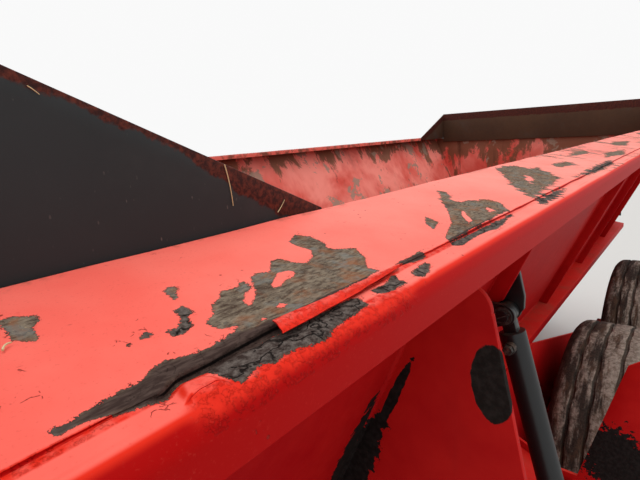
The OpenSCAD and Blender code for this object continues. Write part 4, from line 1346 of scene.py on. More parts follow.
LEFT_CHIPS = (
    outlined(Loss.STEEL, (1080, 944), (1072, 943), (1062, 951), (1063, 957), (1069, 963), (1070, 975),
        (1073, 978), (1080, 970)),
    outlined(Loss.STEEL, (996, 968), (990, 965), (986, 971), (992, 976), (995, 983), (999, 984),
        (998, 976)),
    outlined(Loss.SCALE, (1007, 995), (1000, 994), (999, 1005), (1005, 1007), (1009, 1017), (1017, 1021),
        (1023, 1020), (1023, 1012), (1016, 1013), (1009, 1006)),
    outlined(Loss.SCALE, (1030, 1005), (1028, 1010), (1032, 1012), (1036, 1011), (1035, 1008)),
    outlined(Loss.SCALE, (1043, 1010), (1041, 1011), (1042, 1013), (1044, 1012)),
    outlined(Loss.SEAM, (1094, 1045), (1087, 1045), (1076, 1043), (1068, 1042), (1052, 1041), (1047, 1037),
        (1039, 1035), (1026, 1039), (1019, 1041), (1009, 1040), (997, 1038), (986, 1043), (972, 1043),
        (972, 1050), (1027, 1053), (1041, 1050), (1046, 1053), (1051, 1059), (1059, 1059), (1070, 1055),
        (1084, 1050), (1092, 1051)),
    outlined(Loss.STEEL, (1003, 1020), (993, 1014), (987, 1004), (977, 1000), (971, 993), (958, 995),
        (953, 990), (949, 991), (953, 1002), (962, 1006), (969, 1013), (972, 1020), (970, 1021),
        (955, 1010), (942, 990), (934, 986), (925, 991), (909, 976), (901, 977), (897, 993), (892, 997),
        (879, 992), (868, 981), (869, 966), (868, 956), (849, 946), (841, 958), (846, 979), (853, 985),
        (850, 991), (834, 1002), (841, 1009), (845, 1020), (865, 1033), (862, 1043), (884, 1046),
        (972, 1046), (986, 1046), (999, 1038), (992, 1034), (1001, 1030)),
    outlined(Loss.PAINT, (943, 1011), (937, 1005), (922, 996), (913, 998), (911, 1003), (919, 1008),
        (926, 1008), (937, 1013)),
    outlined(Loss.PAINT, (955, 1030), (953, 1034), (957, 1036), (961, 1033)),
    outlined(Loss.PAINT, (977, 1037), (975, 1039), (977, 1041), (979, 1039)),
    outlined(Loss.SCALE, (1028, 1051), (1026, 1061), (1023, 1073), (1018, 1071), (1006, 1069), (1002, 1072),
        (994, 1070), (980, 1072), (961, 1075), (955, 1072), (923, 1069), (915, 1069), (909, 1056),
        (914, 1053), (959, 1053), (982, 1050), (994, 1049)),
    outlined(Loss.SCALE, (893, 1055), (874, 1057), (861, 1052), (857, 1054), (864, 1061), (864, 1069),
        (889, 1067), (895, 1063)),
    outlined(Loss.STEEL, (842, 1044), (827, 1042), (816, 1044), (796, 1041), (799, 1049), (809, 1052),
        (823, 1051)),
    outlined(Loss.SCALE, (845, 1060), (825, 1058), (815, 1057), (815, 1061), (834, 1069), (846, 1071),
        (851, 1067)),
    outlined(Loss.BLISTER, (1046, 1053), (1041, 1051), (1031, 1053), (1027, 1059), (1026, 1068),
        (1027, 1073), (1037, 1075), (1045, 1071), (1051, 1068), (1049, 1060)),
    outlined(Loss.STEEL, (541, 939), (554, 957), (590, 981), (553, 999), (537, 1006), (547, 1026),
        (559, 1040), (577, 1047), (600, 1045), (695, 1046), (750, 1048), (744, 1041), (684, 1020),
        (635, 993), (593, 964)),
    outlined(Loss.PAINT, (640, 1012), (625, 1008), (660, 1034), (676, 1036)),
    outlined(Loss.PAINT, (590, 1022), (578, 1018), (590, 1034), (604, 1032)),
    outlined(Loss.SCALE, (750, 1048), (683, 1049), (577, 1049), (596, 1056), (665, 1063), (702, 1057),
        (749, 1060), (756, 1053)),
    outlined(Loss.STEEL, (689, 993), (695, 1011), (725, 1020), (712, 1004)),
    outlined(Loss.STEEL, (227, 912), (169, 928), (182, 952), (140, 959), (187, 993), (244, 1026),
        (328, 1034), (474, 1045), (444, 1020), (396, 991), (343, 967), (291, 934)),
    outlined(Loss.PAINT, (330, 990), (270, 975), (290, 995), (345, 1006)),
    outlined(Loss.SCALE, (474, 1045), (403, 1047), (331, 1053), (392, 1063), (479, 1066), (499, 1060)),
    outlined(Loss.SCALE, (211, 1040), (-76, 1036), (-209, 1038), (-134, 1056), (85, 1052)),
    round_chip(0.02, 0.985, 0.070, 0.022),
    round_chip(-0.28, 0.955, 0.110, 0.018),
    round_chip(-0.42, 1.020, 0.180, 0.024),
    round_chip(-0.85, 0.975, 0.200, 0.032),
    round_chip(-1.25, 1.035, 0.260, 0.026),
    round_chip(-1.80, 0.960, 0.240, 0.036),
    round_chip(-2.45, 1.020, 0.300, 0.036),
    round_chip(-3.10, 0.965, 0.220, 0.040),
    round_chip(1.300, 0.985, 0.060, 0.030),
    round_chip(1.480, 1.040, 0.090, 0.016, Loss.SCALE),
    round_chip(1.640, 0.960, 0.045, 0.026),
)


RIGHT_CHIPS = (
    round_chip(1.420, 0.960, 0.080, 0.030),
    round_chip(1.220, 1.040, 0.120, 0.018, Loss.SCALE),
    round_chip(0.860, 0.985, 0.060, 0.024),
    round_chip(0.520, 1.035, 0.150, 0.022),
    round_chip(0.180, 0.950, 0.090, 0.028),
    round_chip(-0.260, 1.025, 0.200, 0.030),
    round_chip(-0.800, 0.970, 0.140, 0.036),
    round_chip(-1.180, 1.045, 0.180, 0.016, Loss.SCALE),
    round_chip(-1.700, 1.000, 0.260, 0.038),
    round_chip(-2.300, 0.960, 0.160, 0.030),
    round_chip(-2.900, 1.020, 0.280, 0.040),
)


EDGE_REACH = 0.024
RAIL_STATES = ("bare", "scaly", "sooty", "lifted", "fresh", "gap")


def smooth(value: float, low: float, high: float) -> float:
    """Return a share that runs smoothly from 0 at low to 1 at high."""
    share = min(1.0, max(0.0, (value - low) / (high - low)))
    return share * share * (3 - 2 * share)


def ripple(x: float, y: float, size: float, seed: float = 0.0) -> float:
    """Return a smooth noise between about -1 and 1 whose waves are size metres long."""
    return noise.noise(Vector((x / size + seed, y / size, seed * 1.7)))


@dataclass
class TopRail:
    """The formed rail along one side, split along its weld and rusted there.

    Its skin is a grid that is fine where the paint peels and coarse far off.
    """

    side: int = 1
    seam_y: float = 1.0475
    step: float = 0.0038
    bend_r: float = 0.014
    bend_steps: int = 8
    plate: float = 0.006
    lip_deep: float = 0.025
    slope: float = 0.030 / 0.180
    gap_share: float = 0.5
    across: float = 0.0017
    right_across: float = 0.0040
    close_x: tuple[float, float] = (0.80, 1.12)
    close_step: float = 0.0013
    fine_x: tuple[float, float] = (0.46, 1.30)
    fine_step: float = 0.0032
    mid_x: float = -0.6
    mid_step: float = 0.009
    far_step: float = 0.03

    def __post_init__(self) -> None:
        """Read the rail's place from the frame and choose its chips."""
        self.node = "rail_left" if self.side > 0 else "rail_right"
        self.chips = LEFT_CHIPS if self.side > 0 else RIGHT_CHIPS
        if self.side < 0:
            self.across = self.right_across
        low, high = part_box("rail_left")
        self.x0, self.in_y, self.low_z = low
        self.x1, self.out_y, self.top_z = high
        self.lip_z = self.top_z - self.lip_deep
        self.bend_y = self.out_y - self.bend_r

    def top(self, y: float) -> float:
        """Return the flat top's height at distance y."""
        return self.top_z - (y - self.in_y) * self.slope

    def stride(self, x: float) -> float:
        """Choose how close the rings are.

        Args:
            x: Place along the rail.

        Returns:
            The distance to the next ring.
        """
        if self.side > 0 and self.close_x[0] < x < self.close_x[1]:
            return self.close_step
        if self.side > 0 and self.fine_x[0] < x < self.fine_x[1]:
            return self.fine_step
        return self.mid_step if x > self.mid_x else self.far_step

    def stations(self) -> list[float]:
        """List the rings.

        Returns:
            Their places along the rail.
        """
        places = [self.x0]
        while places[-1] < self.x1 - 0.001:
            places.append(min(self.x1, places[-1] + self.stride(places[-1])))
        return places

    def section(self) -> list[tuple[float, float, float, float]]:
        """List the section's points, from the inner lip over the top and back underneath.

        Returns:
            Each point's y and z, its share of the top's relief and its drop where the seam is open.
        """
        seam_z = self.top(self.seam_y)
        bend_z = self.top(self.bend_y) - self.bend_r
        points = [(self.in_y, self.lip_z + share * 0.019, 0.0, 0.0) for share in (0, 0.35, 0.7, 1.0)]
        points.append((self.in_y + 0.0018, self.top(self.in_y) - 0.0016, 0.3, 0.0))
        y = self.in_y + 0.004
        while y < self.seam_y - 0.0012:
            points.append((y, self.top(y), 1.0, 0.0))
            y += self.across
        points += [(self.seam_y, seam_z - 0.0003, 1.0, 0.0),
                   (self.seam_y + 0.0009, seam_z - 0.0006, 1.0, 0.0008),
                   (self.seam_y + 0.0006, seam_z - 0.0007, self.gap_share, self.step * 0.6),
                   (self.seam_y + 0.0012, seam_z - 0.0008, 0.4, self.step),
                   (self.seam_y + 0.0022, seam_z - 0.0007, 0.6, self.step * 0.9),
                   (self.seam_y + 0.0034, seam_z - 0.0006, 0.7, self.step * 0.8)]
        y = self.seam_y + 0.0048
        while y < self.bend_y:
            points.append((y, self.top(y), 0.8, self.step * (1 - smooth(y, self.seam_y, self.bend_y)) * 0.7))
            y += self.across
        for i in range(self.bend_steps + 1):
            share = i / self.bend_steps
            angle = math.radians(90 - 90 * share)
            y = self.bend_y + self.bend_r * math.cos(angle)
            points.append((y, bend_z + self.bend_r * math.sin(angle), 0.7 * (1 - share), 0.0))
        for i in range(1, self.bend_steps + 1):
            points.append((self.out_y, bend_z + (self.low_z - bend_z) * i / self.bend_steps, 0.0, 0.0))
        under = ((self.out_y - self.plate, self.low_z), (self.out_y - self.plate, bend_z),
                 (self.seam_y, seam_z - 2 * self.plate),
                 (self.in_y + self.plate, self.top(self.in_y) - self.plate - 0.002),
                 (self.in_y + self.plate, self.lip_z))
        return points + [(y, z, 0.0, 0.0) for y, z in under]

    def seam(self, x: float) -> float:
        """Return how far the seam wanders sideways at x."""
        wander = 0.0012 * ripple(x, 0.0, 0.05, 3.0) + 0.0006 * ripple(x, 0.0, 0.012, 7.0)
        return wander + 0.0062 * smooth(x, 1.038, 1.056) - 0.0012 * (1 - smooth(x, 0.96, 1.03))

    def open(self, x: float) -> float:
        """Measure how far the seam gapes.

        Args:
            x: Place along the rail.

        Returns:
            0 where it is shut, 1 where it is torn open.
        """
        torn = smooth(x, 0.83, 0.88) * (1 - smooth(x, 1.048, 1.062))
        further = 0.30 + 0.35 * smooth(ripple(x, 2.0, 0.11, 5.0), 0.0, 0.5)
        least = 0.12 + 0.2 * smooth(ripple(x, 1.0, 0.15, 3.0), 0.1, 0.5)
        return max(torn, further * (1 - smooth(x, 0.80, 0.84)), least)

    def crusted(self, x: float) -> float:
        """Return the share of the stretch where thick scale lies beyond the seam."""
        return smooth(x, 0.84, 0.90) * (1 - smooth(x, 1.03, 1.07))

    def states(self, x: float, y: float, shift: float) -> dict[str, float]:
        """Return the surface's state at a point.

        Args:
            x: Place along the rail.
            y: Distance from the middle before the seam's wander.
            shift: How far the seam's wander moves the point.

        Returns:
            How bare, scaly, sooty, fresh and lifted it is, each 0.5 on an outline's edge.
        """
        depths = {kind: -1.0 for kind in Loss}
        for chip in self.chips:
            if chip.near(x, y + shift):
                depths[chip.kind] = max(depths[chip.kind], chip.depth(x, y + shift))
        bare = max(depths[Loss.STEEL], depths[Loss.SCALE], depths[Loss.SEAM])
        bare = min(bare, -1.5 * depths[Loss.PAINT])
        values = {"bare": bare, "scaly": depths[Loss.SCALE], "sooty": depths[Loss.SEAM],
                  "lifted": depths[Loss.BLISTER]}
        shares = {name: min(1.0, max(0.0, 0.5 + depth / EDGE_REACH)) for name, depth in values.items()}
        if self.seam_y - 0.004 < y < self.seam_y + 0.004 and depths[Loss.STEEL] > -0.002:
            shares["sooty"] = max(shares["sooty"], 0.9 * smooth(y, self.seam_y - 0.005, self.seam_y - 0.001))
        past = y - self.seam_y
        edge = smooth(y, 1.060, 1.070) * self.crusted(x)
        ridge = smooth(past, -0.001, 0.001) * (1 - smooth(past, 0.005, 0.010))
        ridge *= 0.8 * (1 - 0.5 * smooth(0.8 - x, 0.0, 0.3))
        shares["fresh"] = max(edge, ridge, shares["lifted"] - 0.35)
        return shares

    def relief(self, x: float, y: float, states: dict[str, float]) -> float:
        """Shape the top.

        Args:
            x: Place along the rail.
            y: Distance from the machine's middle.
            states: The surface's state there.

        Returns:
            How far the top stands above its flat shape.
        """
        wave = 0.0011 * ripple(x, y, 0.16, 1.0) + 0.0004 * ripple(x, y, 0.045, 2.0)
        from_seam = self.seam_y - y
        gape = self.open(x)
        if from_seam > -0.002:
            fade = math.exp(-max(0.0, from_seam) / 0.012)
            wave += 0.0024 * fade * gape * (0.8 + 0.6 * ripple(x, 0.0, 0.06, 9.0))
        wave += 0.0012 * math.exp(-((y - self.seam_y - 0.002) / 0.004) ** 2) * (1 - gape)
        if y > self.seam_y + 0.003 and states["scaly"] > 0.4:
            wave += 0.0011 * ripple(x, y * 1.6, 0.018, 4.0) + 0.0006 * ripple(x, y, 0.007, 6.0)
        wave += 0.0007 * smooth(y, 1.062, 1.070) * self.crusted(x) * ripple(x, y, 0.0055, 11.0)
        dome = smooth(states["lifted"], 0.48, 0.78)
        wave += dome * (0.0030 + 0.0007 * ripple(x, y, 0.009, 8.0))
        return wave - 0.0005 * smooth(states["bare"], 0.40, 0.60)

    def build(self, material: Material) -> Piece:
        """Make the rail.

        Args:
            material: The rail's material.

        Returns:
            The piece that stands for the rail's node.
        """
        places = self.stations()
        section = self.section()
        last = len(places) - 1
        select_none()
        bpy.ops.mesh.primitive_grid_add(x_subdivisions=last, y_subdivisions=len(section), size=2)
        piece = bpy.context.object
        piece.name = self.node + "_skin"
        fields: dict[str, list[float]] = {name: [] for name in RAIL_STATES}
        for vertex in piece.data.vertices:
            x = places[round((vertex.co.x + 1) / 2 * last)]
            y, z, moved, drop = section[round((vertex.co.y + 1) / 2 * len(section)) % len(section)]
            shift = self.seam(x) * max(0.0, 1 - abs(y - self.seam_y) / 0.03)
            states = self.states(x, y, shift) if moved else dict.fromkeys(RAIL_STATES, 0.0)
            gape = self.open(x)
            # The gap attribute marks the seam's step wall, which takes painted shade.
            states["gap"] = gape if moved == self.gap_share else 0.0
            for name in RAIL_STATES:
                fields[name].append(states[name])
            if moved:
                z += self.relief(x, y, states) * moved - drop * gape
                y += shift
            vertex.co = (x, y * self.side, z)
        for name, values in fields.items():
            layer = piece.data.attributes.new(name, "FLOAT", "POINT")
            layer.data.foreach_set("value", values)
        closed(piece, 50)
        return carried(piece, ROOT, "rail_paint", material, self.node)


@dataclass
class PaintSliver:
    """A strip of paint that has torn along the seam and curls over the scale."""

    start_x: float = 0.979
    end_x: float = 0.845
    start_wide: float = 0.0115
    end_wide: float = 0.0025
    steps: int = 60
    across: int = 6
    thick: float = 0.0007
    arch: float = 0.0022
    fresh: float = 0.75

    def build(self, rail: TopRail, material: Material) -> Piece:
        """Make the strip.

        Args:
            rail: The rail that it lies on.
            material: The rail's paint.

        Returns:
            The new piece.
        """
        select_none()
        bpy.ops.mesh.primitive_grid_add(x_subdivisions=self.steps, y_subdivisions=self.across, size=2)
        piece = bpy.context.object
        piece.name = "rail_paint_sliver"
        for vertex in piece.data.vertices:
            along = (vertex.co.x + 1) / 2
            over = (vertex.co.y + 1) / 2
            x = self.start_x + (self.end_x - self.start_x) * along
            wide = self.start_wide + (self.end_wide - self.start_wide) * along
            wide *= 1 + 0.10 * ripple(x, over, 0.02, 12.0) * over
            skew = 0.004 * (1 - smooth(along, 0.0, 0.05)) * over
            y = rail.seam_y + 0.0008 + wide * over
            bulge = self.arch * (1 - along * 0.6) * math.sin(math.pi * (0.25 + 0.75 * over))
            lift = 0.0012 + 0.0016 * (1 - smooth(along, 0.0, 0.5)) + 0.0003 * ripple(x, y, 0.012, 5.0)
            vertex.co = (x + skew, y * rail.side, rail.top(y) + bulge + lift)
        layer = piece.data.attributes.new("fresh", "FLOAT", "POINT")
        layer.data.foreach_set("value", [self.fresh] * len(piece.data.vertices))
        solid = piece.modifiers.new("thickness", "SOLIDIFY")
        solid.thickness = self.thick
        solid.offset = -1
        apply_modifiers(piece)
        outward(piece, 50)
        return carried(piece, ROOT, "rail_paint", material)


@dataclass
class Fasteners:
    """Bolts on the bearings, the drive cover, the gearbox, the hitch and the lamp bar."""

    materials: dict[str, Material]
    washer: float = 0.003
    flange_r: float = 0.060
    flange: float = 0.014
    rear_inset: float = 0.040
    cover_step: float = 0.150
    cover_margin: float = 0.020
    cut_corner: float = 0.270
    gearbox_face: float = 0.150
    gearbox_half: float = 0.080
    input_out: float = 0.026
    input_r: float = 0.044
    hitch_in: float = 0.030
    hitch_half: float = 0.026
    lamp_bar_y: tuple[float, ...] = (0.12, 0.40, 0.58)

    def build(self) -> None:
        """Make every group of bolts."""
        groups = {"bearing_bolts": (0.022, 0.010, self.bearing_spots()),
                  "cover_bolts": (0.016, 0.007, self.cover_spots()),
                  "gearbox_bolts": (0.020, 0.010, self.gearbox_spots()),
                  "hitch_bolts": (0.024, 0.012, self.hitch_spots()),
                  "lamp_bar_bolts": (0.015, 0.007, self.lamp_bar_spots())}
        for name, (across, high, spots) in groups.items():
            slot = "black_paint" if name == "lamp_bar_bolts" else "bearing_iron"
            carried(scattered(self.bolt(across, high), spots, name), ROOT, slot, self.materials[slot])

    def bolt(self, across: float, high: float) -> Piece:
        """Model a hexagon bolt head on its washer."""
        return fitting(Step(16, across * 0.85, self.washer, self.washer / 2),
                       Step(6, across / math.sqrt(3), high, self.washer + high / 2))

    def circle(self, centre: Sequence[float], out: int, radius: float, count: int = 4,
               turn: float = 45) -> list[Spot]:
        """List bolts on a circle whose axis is X.

        Args:
            centre: The circle's middle.
            out: 1 where the bolts look forward, -1 where they look back.
            radius: The circle's radius.
            count: How many bolts there are.
            turn: Degrees from Y to the first one.

        Returns:
            Place and direction of each bolt.
        """
        x, y, z = centre
        spots = []
        for i in range(count):
            angle = math.radians(turn + 360 * i / count)
            spots.append(((x, y + radius * math.cos(angle), z + radius * math.sin(angle)), (out, 0, 0)))
        return spots

    def bearing_spots(self) -> list[Spot]:
        """List the bolts of the flange bearings that can be seen.

        Returns:
            Place and direction of each bolt.
        """
        _, auger_y, auger_z = middle("auger_left_shaft")
        _, rotor_y, rotor_z = middle("rotor")
        rear_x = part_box("rear_wall")[0].x + self.rear_inset - self.flange
        ends_low, ends_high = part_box("housing_ends")
        spots = []
        for side in (1, -1):
            spots += self.circle((rear_x, side * auger_y, auger_z), -1, self.flange_r)
        spots += self.circle((ends_high.x + self.flange, rotor_y, rotor_z), 1, self.flange_r)
        return spots + self.circle((ends_low.x - self.flange, rotor_y, rotor_z), -1, self.flange_r)

    def cover_spots(self) -> list[Spot]:
        """List the bolts round the drive cover's face, whose upper left corner is cut.

        Returns:
            Place and direction of each bolt.
        """
        low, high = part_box("drive_cover")
        margin = self.cover_margin
        count = round((high.y - low.y) / self.cover_step)
        places = []
        for i in range(count + 1):
            y = low.y + margin + (high.y - low.y - 2 * margin) * i / count
            past = y - high.y + self.cut_corner
            places.append((y, low.z + margin))
            places.append((y, high.z - margin if past < -0.010 else high.z - margin - past - 0.012))
        places += [(low.y + margin, low.z + (high.z - low.z) * i / 3) for i in (1, 2)]
        return [((high.x, y, z), (1, 0, 0)) for y, z in places]

    def gearbox_spots(self) -> list[Spot]:
        """List the bolts on the gearbox's face and round its input.

        Returns:
            Place and direction of each bolt.
        """
        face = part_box("gearbox")[0].x + self.gearbox_face
        z = middle("gearbox")[2]
        half = self.gearbox_half
        spots = [((face, dy, z + dz), (1, 0, 0)) for dy in (half, -half) for dz in (half, -half)]
        return spots + self.circle((face + self.input_out, 0.0, z), 1, self.input_r, 6, 0)

    def hitch_spots(self) -> list[Spot]:
        """List the bolts through the hitch block.

        Returns:
            Place and direction of each bolt.
        """
        low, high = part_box("hitch")
        z = middle("hitch")[2]
        half = self.hitch_half
        return [((low.x + self.hitch_in, side * high.y, z + dz), (0, side, 0)) for side in (1, -1)
                for dz in (half, -half)]

    def lamp_bar_spots(self) -> list[Spot]:
        """List the bolts that hold the lamp bar."""
        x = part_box("lamp_bar")[0].x
        z = middle("lamp_bar")[2]
        return [((x, side * y, z), (-1, 0, 0)) for side in (1, -1) for y in self.lamp_bar_y]


@dataclass
class Wheel:
    """Ribbed tyre with its nuts and valve on one side and axle."""

    corner: str
    materials: dict[str, Material]
    steps: int = 192
    nut_ring: float = 0.105
    nuts: int = 8
    disc_out: float = 0.0155
    valve_r: float = 0.165
    wave: float = 0.0032
    wave_steps: int = 8
    notch: float = 0.007
    worn: float = 0.0012
    rib_edges: tuple[float, ...] = (0.0315, 0.0445, 0.0985, 0.1115)
    half_profile: tuple[tuple[float, float], ...] = (
        (0.206, 0.1480), (0.227, 0.1525), (0.240, 0.1560), (0.258, 0.1660), (0.263, 0.1705), (0.269, 0.1705),
        (0.276, 0.1730), (0.300, 0.1820), (0.330, 0.1870), (0.346, 0.1885), (0.350, 0.1900), (0.358, 0.1900),
        (0.362, 0.1880), (0.395, 0.1875), (0.425, 0.1855), (0.445, 0.1830), (0.462, 0.1780), (0.476, 0.1690),
        (0.486, 0.1600), (0.4925, 0.1500), (0.4950, 0.1400), (0.4965, 0.1260), (0.4972, 0.1140),
        (0.4962, 0.1115), (0.4855, 0.1090), (0.4855, 0.1010), (0.4972, 0.0985), (0.4982, 0.0955),
        (0.4990, 0.0720), (0.4993, 0.0480), (0.4985, 0.0445), (0.4875, 0.0420), (0.4875, 0.0340),
        (0.4990, 0.0315), (0.4997, 0.0280), (0.5000, 0.0100))

    def __post_init__(self) -> None:
        """Read the wheel's place from the frame."""
        self.x, self.y, self.z = middle("tyre_" + self.corner)
        self.side = 1 if self.y > 0 else -1
        self.profile = [(radius, -y) for radius, y in self.half_profile]
        self.profile += reversed(self.half_profile)
        self.profile.append(self.profile[0])

    def build(self) -> None:
        """Make the tyre, the nuts and the valve."""
        body = "wheel_" + self.corner
        tyre = shaped("tread_" + self.corner, self.steps, len(self.profile) - 1, self.tread)
        carried(tyre, body, "tyre_rubber", self.materials["tyre_rubber"], "tyre_" + self.corner)
        iron = self.materials["bearing_iron"]
        face = self.y + self.side * self.disc_out
        spots = []
        for i in range(self.nuts):
            angle = math.tau * (i + 0.5) / self.nuts
            spots.append(((self.x + self.nut_ring * math.cos(angle), face,
                           self.z + self.nut_ring * math.sin(angle)), (0, self.side, 0)))
        carried(scattered(self.nut(), spots, "nuts_" + self.corner), body, "bearing_iron", iron)
        spots = [((self.x, face + self.side * 0.006, self.z + self.valve_r), (0, self.side, 0.35))]
        carried(scattered(self.valve(), spots, "valve_" + self.corner), body, "bearing_iron", iron)

    def tread(self, u: float, v: float) -> Place:
        """Place a point of the tyre.

        Args:
            u: Share of the way round the wheel.
            v: Share of the way along the profile.

        Returns:
            Its place, with waved grooves, notched shoulders and uneven wear.
        """
        step = round(u * self.steps) % self.steps
        radius, y = self.profile[round(v * (len(self.profile) - 1))]
        if any(abs(abs(y) - edge) < 0.0002 for edge in self.rib_edges):
            y += self.wave * (abs((step % self.wave_steps) / (self.wave_steps / 2) - 1) * 2 - 1)
        if 0.148 < abs(y) < 0.172 and radius > 0.47 and step % 4 == 0:
            radius -= self.notch
        if radius > 0.48:
            radius -= self.worn * (0.5 + 0.5 * ripple(step * 0.016, y, 0.11, self.x))
        angle = math.tau * step / self.steps
        return self.x + radius * math.cos(angle), self.y + y, self.z + radius * math.sin(angle)

    def nut(self) -> Piece:
        """Model a wheel nut with its cone washer and stud."""
        return fitting(Step(16, 0.019, 0.006, 0.003, 0.015), Step(6, 0.0145, 0.016, 0.014),
                       Step(12, 0.0075, 0.012, 0.026), edge=0.0010)

    def valve(self) -> Piece:
        """Model a valve stem with its cap."""
        return fitting(Step(10, 0.004, 0.036, 0.018), Step(10, 0.0058, 0.012, 0.040), edge=0.0008)


@dataclass
class Weld:
    """A rippled weld bead along a straight joint."""

    start: Sequence[float]
    end: Sequence[float]
    radius: float = 0.0045
    pitch: float = 0.006
    sides: int = 7

    def build(self) -> Piece:
        """Make the bead.

        Returns:
            The new piece.
        """
        start = Vector(self.start)
        run = Vector(self.end) - start
        steps = max(4, round(run.length / self.pitch))
        first = run.normalized().orthogonal().normalized()
        second = run.normalized().cross(first)

        def place(u: float, v: float) -> Vector:
            """Place a point of the bead.

            Args:
                u: Share of the way along.
                v: Share of the way round.

            Returns:
                Its place, on a rippled round whose ends are small.
            """
            wobble = 1 + 0.16 * math.sin(u * steps * 2.4)
            wobble += 0.35 * ripple(u * run.length, start.x, 0.03, start.z)
            swell = self.radius * wobble if 0 < u < 1 else self.radius * 0.4
            angle = ring_angle(v, self.sides)
            return start + run * u + first * math.cos(angle) * swell + second * math.sin(angle) * swell

        return shaped("bead", steps, self.sides, place)


@dataclass
class WeldSeams:
    """Weld beads where the ribs, the ledges and the housing's plates meet the side sheets."""

    material: Material
    lean: float = 0.452
    rib_foot: float = 0.004
    rib_head: float = 0.012
    aside: float = 0.001
    end_in: float = 0.010
    plate_foot: float = 0.72

    def at(self, x: float, side: int, z: float) -> Place:
        """Return a place on a side sheet's outer face."""
        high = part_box("wall_left")[1]
        return x, side * (high.y - (high.z - z) * self.lean), z

    def build(self) -> None:
        """Make and join the beads."""
        ledge_low, ledge_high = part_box("wall_ledges")
        ends_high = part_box("housing_ends")[1]
        foot = ledge_high.z + self.rib_foot
        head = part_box("wall_ribs")[1].z - self.rib_head
        centres = {round(vertex.co.x, 3) for vertex in frame["nodes"]["wall_ribs"].data.vertices}
        beads = []
        for side in (1, -1):
            for i, face in enumerate(sorted(centres)):
                x = face + (self.aside if i % 2 else -self.aside)
                beads.append(Weld(self.at(x, side, foot), self.at(x, side, head)).build())
            start = self.at(ledge_low.x + self.end_in, side, ledge_high.z)
            end = self.at(ledge_high.x - self.end_in, side, ledge_high.z)
            beads.append(Weld(start, end, 0.004, 0.009).build())
        start = self.at(ends_high.x, 1, self.plate_foot)
        end = self.at(ends_high.x, 1, ends_high.z - self.end_in)
        beads.append(Weld(start, end, 0.005).build())
        carried(joined(beads, "weld_beads"), ROOT, "red_paint", self.material)


@dataclass
class Lamps:
    """Round rear lamps with a black bezel and a ringed lens."""

    materials: dict[str, Material]
    radius: float = 0.045
    lens_r: float = 0.03915
    rings: int = 22
    dome: float = 0.011
    ridge: float = 0.0009
    sides: int = 40
    places_y: tuple[float, ...] = (-0.640, -0.520, 0.520, 0.640)

    def build(self) -> None:
        """Make the bezels and the lenses."""
        low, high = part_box("lamps")
        r = self.radius
        bezel = [(0.0, high.x), (r * 0.94, high.x), (r, high.x - 0.002), (r, low.x + 0.014),
                 (r * 0.96, low.x + 0.011), (r * 0.90, low.x + 0.012), (r * 0.88, low.x + 0.018),
                 (0.0, low.x + 0.018)]
        lens = [(0.0, low.x + 0.016), (self.lens_r, low.x + 0.016)]
        for i in range(self.rings + 1):
            share = 1 - i / self.rings
            x = low.x + 0.0006 + self.dome * share * share + (self.ridge if i % 2 else 0.0)
            lens.append((self.lens_r * share, x))
        shells = [self.turned(bezel, y) for y in self.places_y]
        lenses = [self.turned(lens, y) for y in self.places_y]
        carried(joined(shells, "lamp_bezels"), ROOT, "black_paint", self.materials["black_paint"], "lamps")
        carried(joined(lenses, "lamp_lenses"), ROOT, "lamp_plastic", self.materials["lamp_plastic"])

    def turned(self, profile: Sequence[tuple[float, float]], y: float) -> Piece:
        """Turn a profile round an axis along X.

        Args:
            profile: Radius and x of its points.
            y: The axis's distance from the machine's middle.

        Returns:
            The new piece.
        """
        z = middle("lamps")[2]

        def place(u: float, v: float) -> Place:
            """Place a point of the turned piece.

            Args:
                u: Share of the way round.
                v: Share of the way along the profile.

            Returns:
                Its place.
            """
            radius, x = profile[round(v * (len(profile) - 1))]
            angle = ring_angle(u, self.sides)
            return x, y + radius * math.cos(angle), z + radius * math.sin(angle)

        return shaped("lamp part", self.sides, len(profile) - 1, place)


@dataclass
class Ram:
    """Fittings of the door's cylinder: ports, gland ring, pin washers and split pins."""

    materials: dict[str, Material]
    barrel_r: float = 0.028
    port_places: tuple[float, ...] = (0.070, 0.395)
    gland_place: float = 0.424

    def build(self) -> None:
        """Make the fittings."""
        iron = self.materials["bearing_iron"]
        joints = {joint["name"]: joint for joint in frame["joints"]}
        pivot = Vector(joints["ram_swing"]["pos_m"])
        axis = Vector(joints["ram_slide"]["axis"])
        out = Vector((1, 0, 0))
        spots = [(pivot + axis * place + out * (self.barrel_r - 0.003), out) for place in self.port_places]
        carried(scattered(self.port(), spots, "ram_ports"), "ram_barrel", "bearing_iron", iron)
        gland = scattered(self.gland(), [(pivot + axis * self.gland_place, axis)], "ram_gland")
        carried(gland, "ram_barrel", "black_paint", self.materials["black_paint"])
        low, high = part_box("ram_bracket")
        pins = [((high.x, pivot.y, pivot.z), (1, 0, 0)), ((low.x, pivot.y, pivot.z), (-1, 0, 0))]
        carried(scattered(self.pin_end(), pins, "ram_pin_ends"), ROOT, "bearing_iron", iron)

    def port(self) -> Piece:
        """Model a hydraulic port with its blank plug."""
        return fitting(Step(20, 0.0125, 0.016, 0.008), Step(6, 0.0110, 0.010, 0.021))

    def gland(self) -> Piece:
        """Model the ring nut at the barrel's lower end.

        Returns:
            The new piece.
        """
        select_none()
        bpy.ops.mesh.primitive_torus_add(major_segments=40, minor_segments=8,
                                         major_radius=self.barrel_r + 0.0035, minor_radius=0.0042)
        return bpy.context.object

    def pin_end(self) -> Piece:
        """Model a pin's end with its washer and split pin."""
        split_pin = Step(8, 0.0018, 0.034, -0.001, tilt=(math.pi / 2, 0, 0.5))
        return fitting(Step(24, 0.020, 0.003, -0.006), split_pin, edge=0.0007)


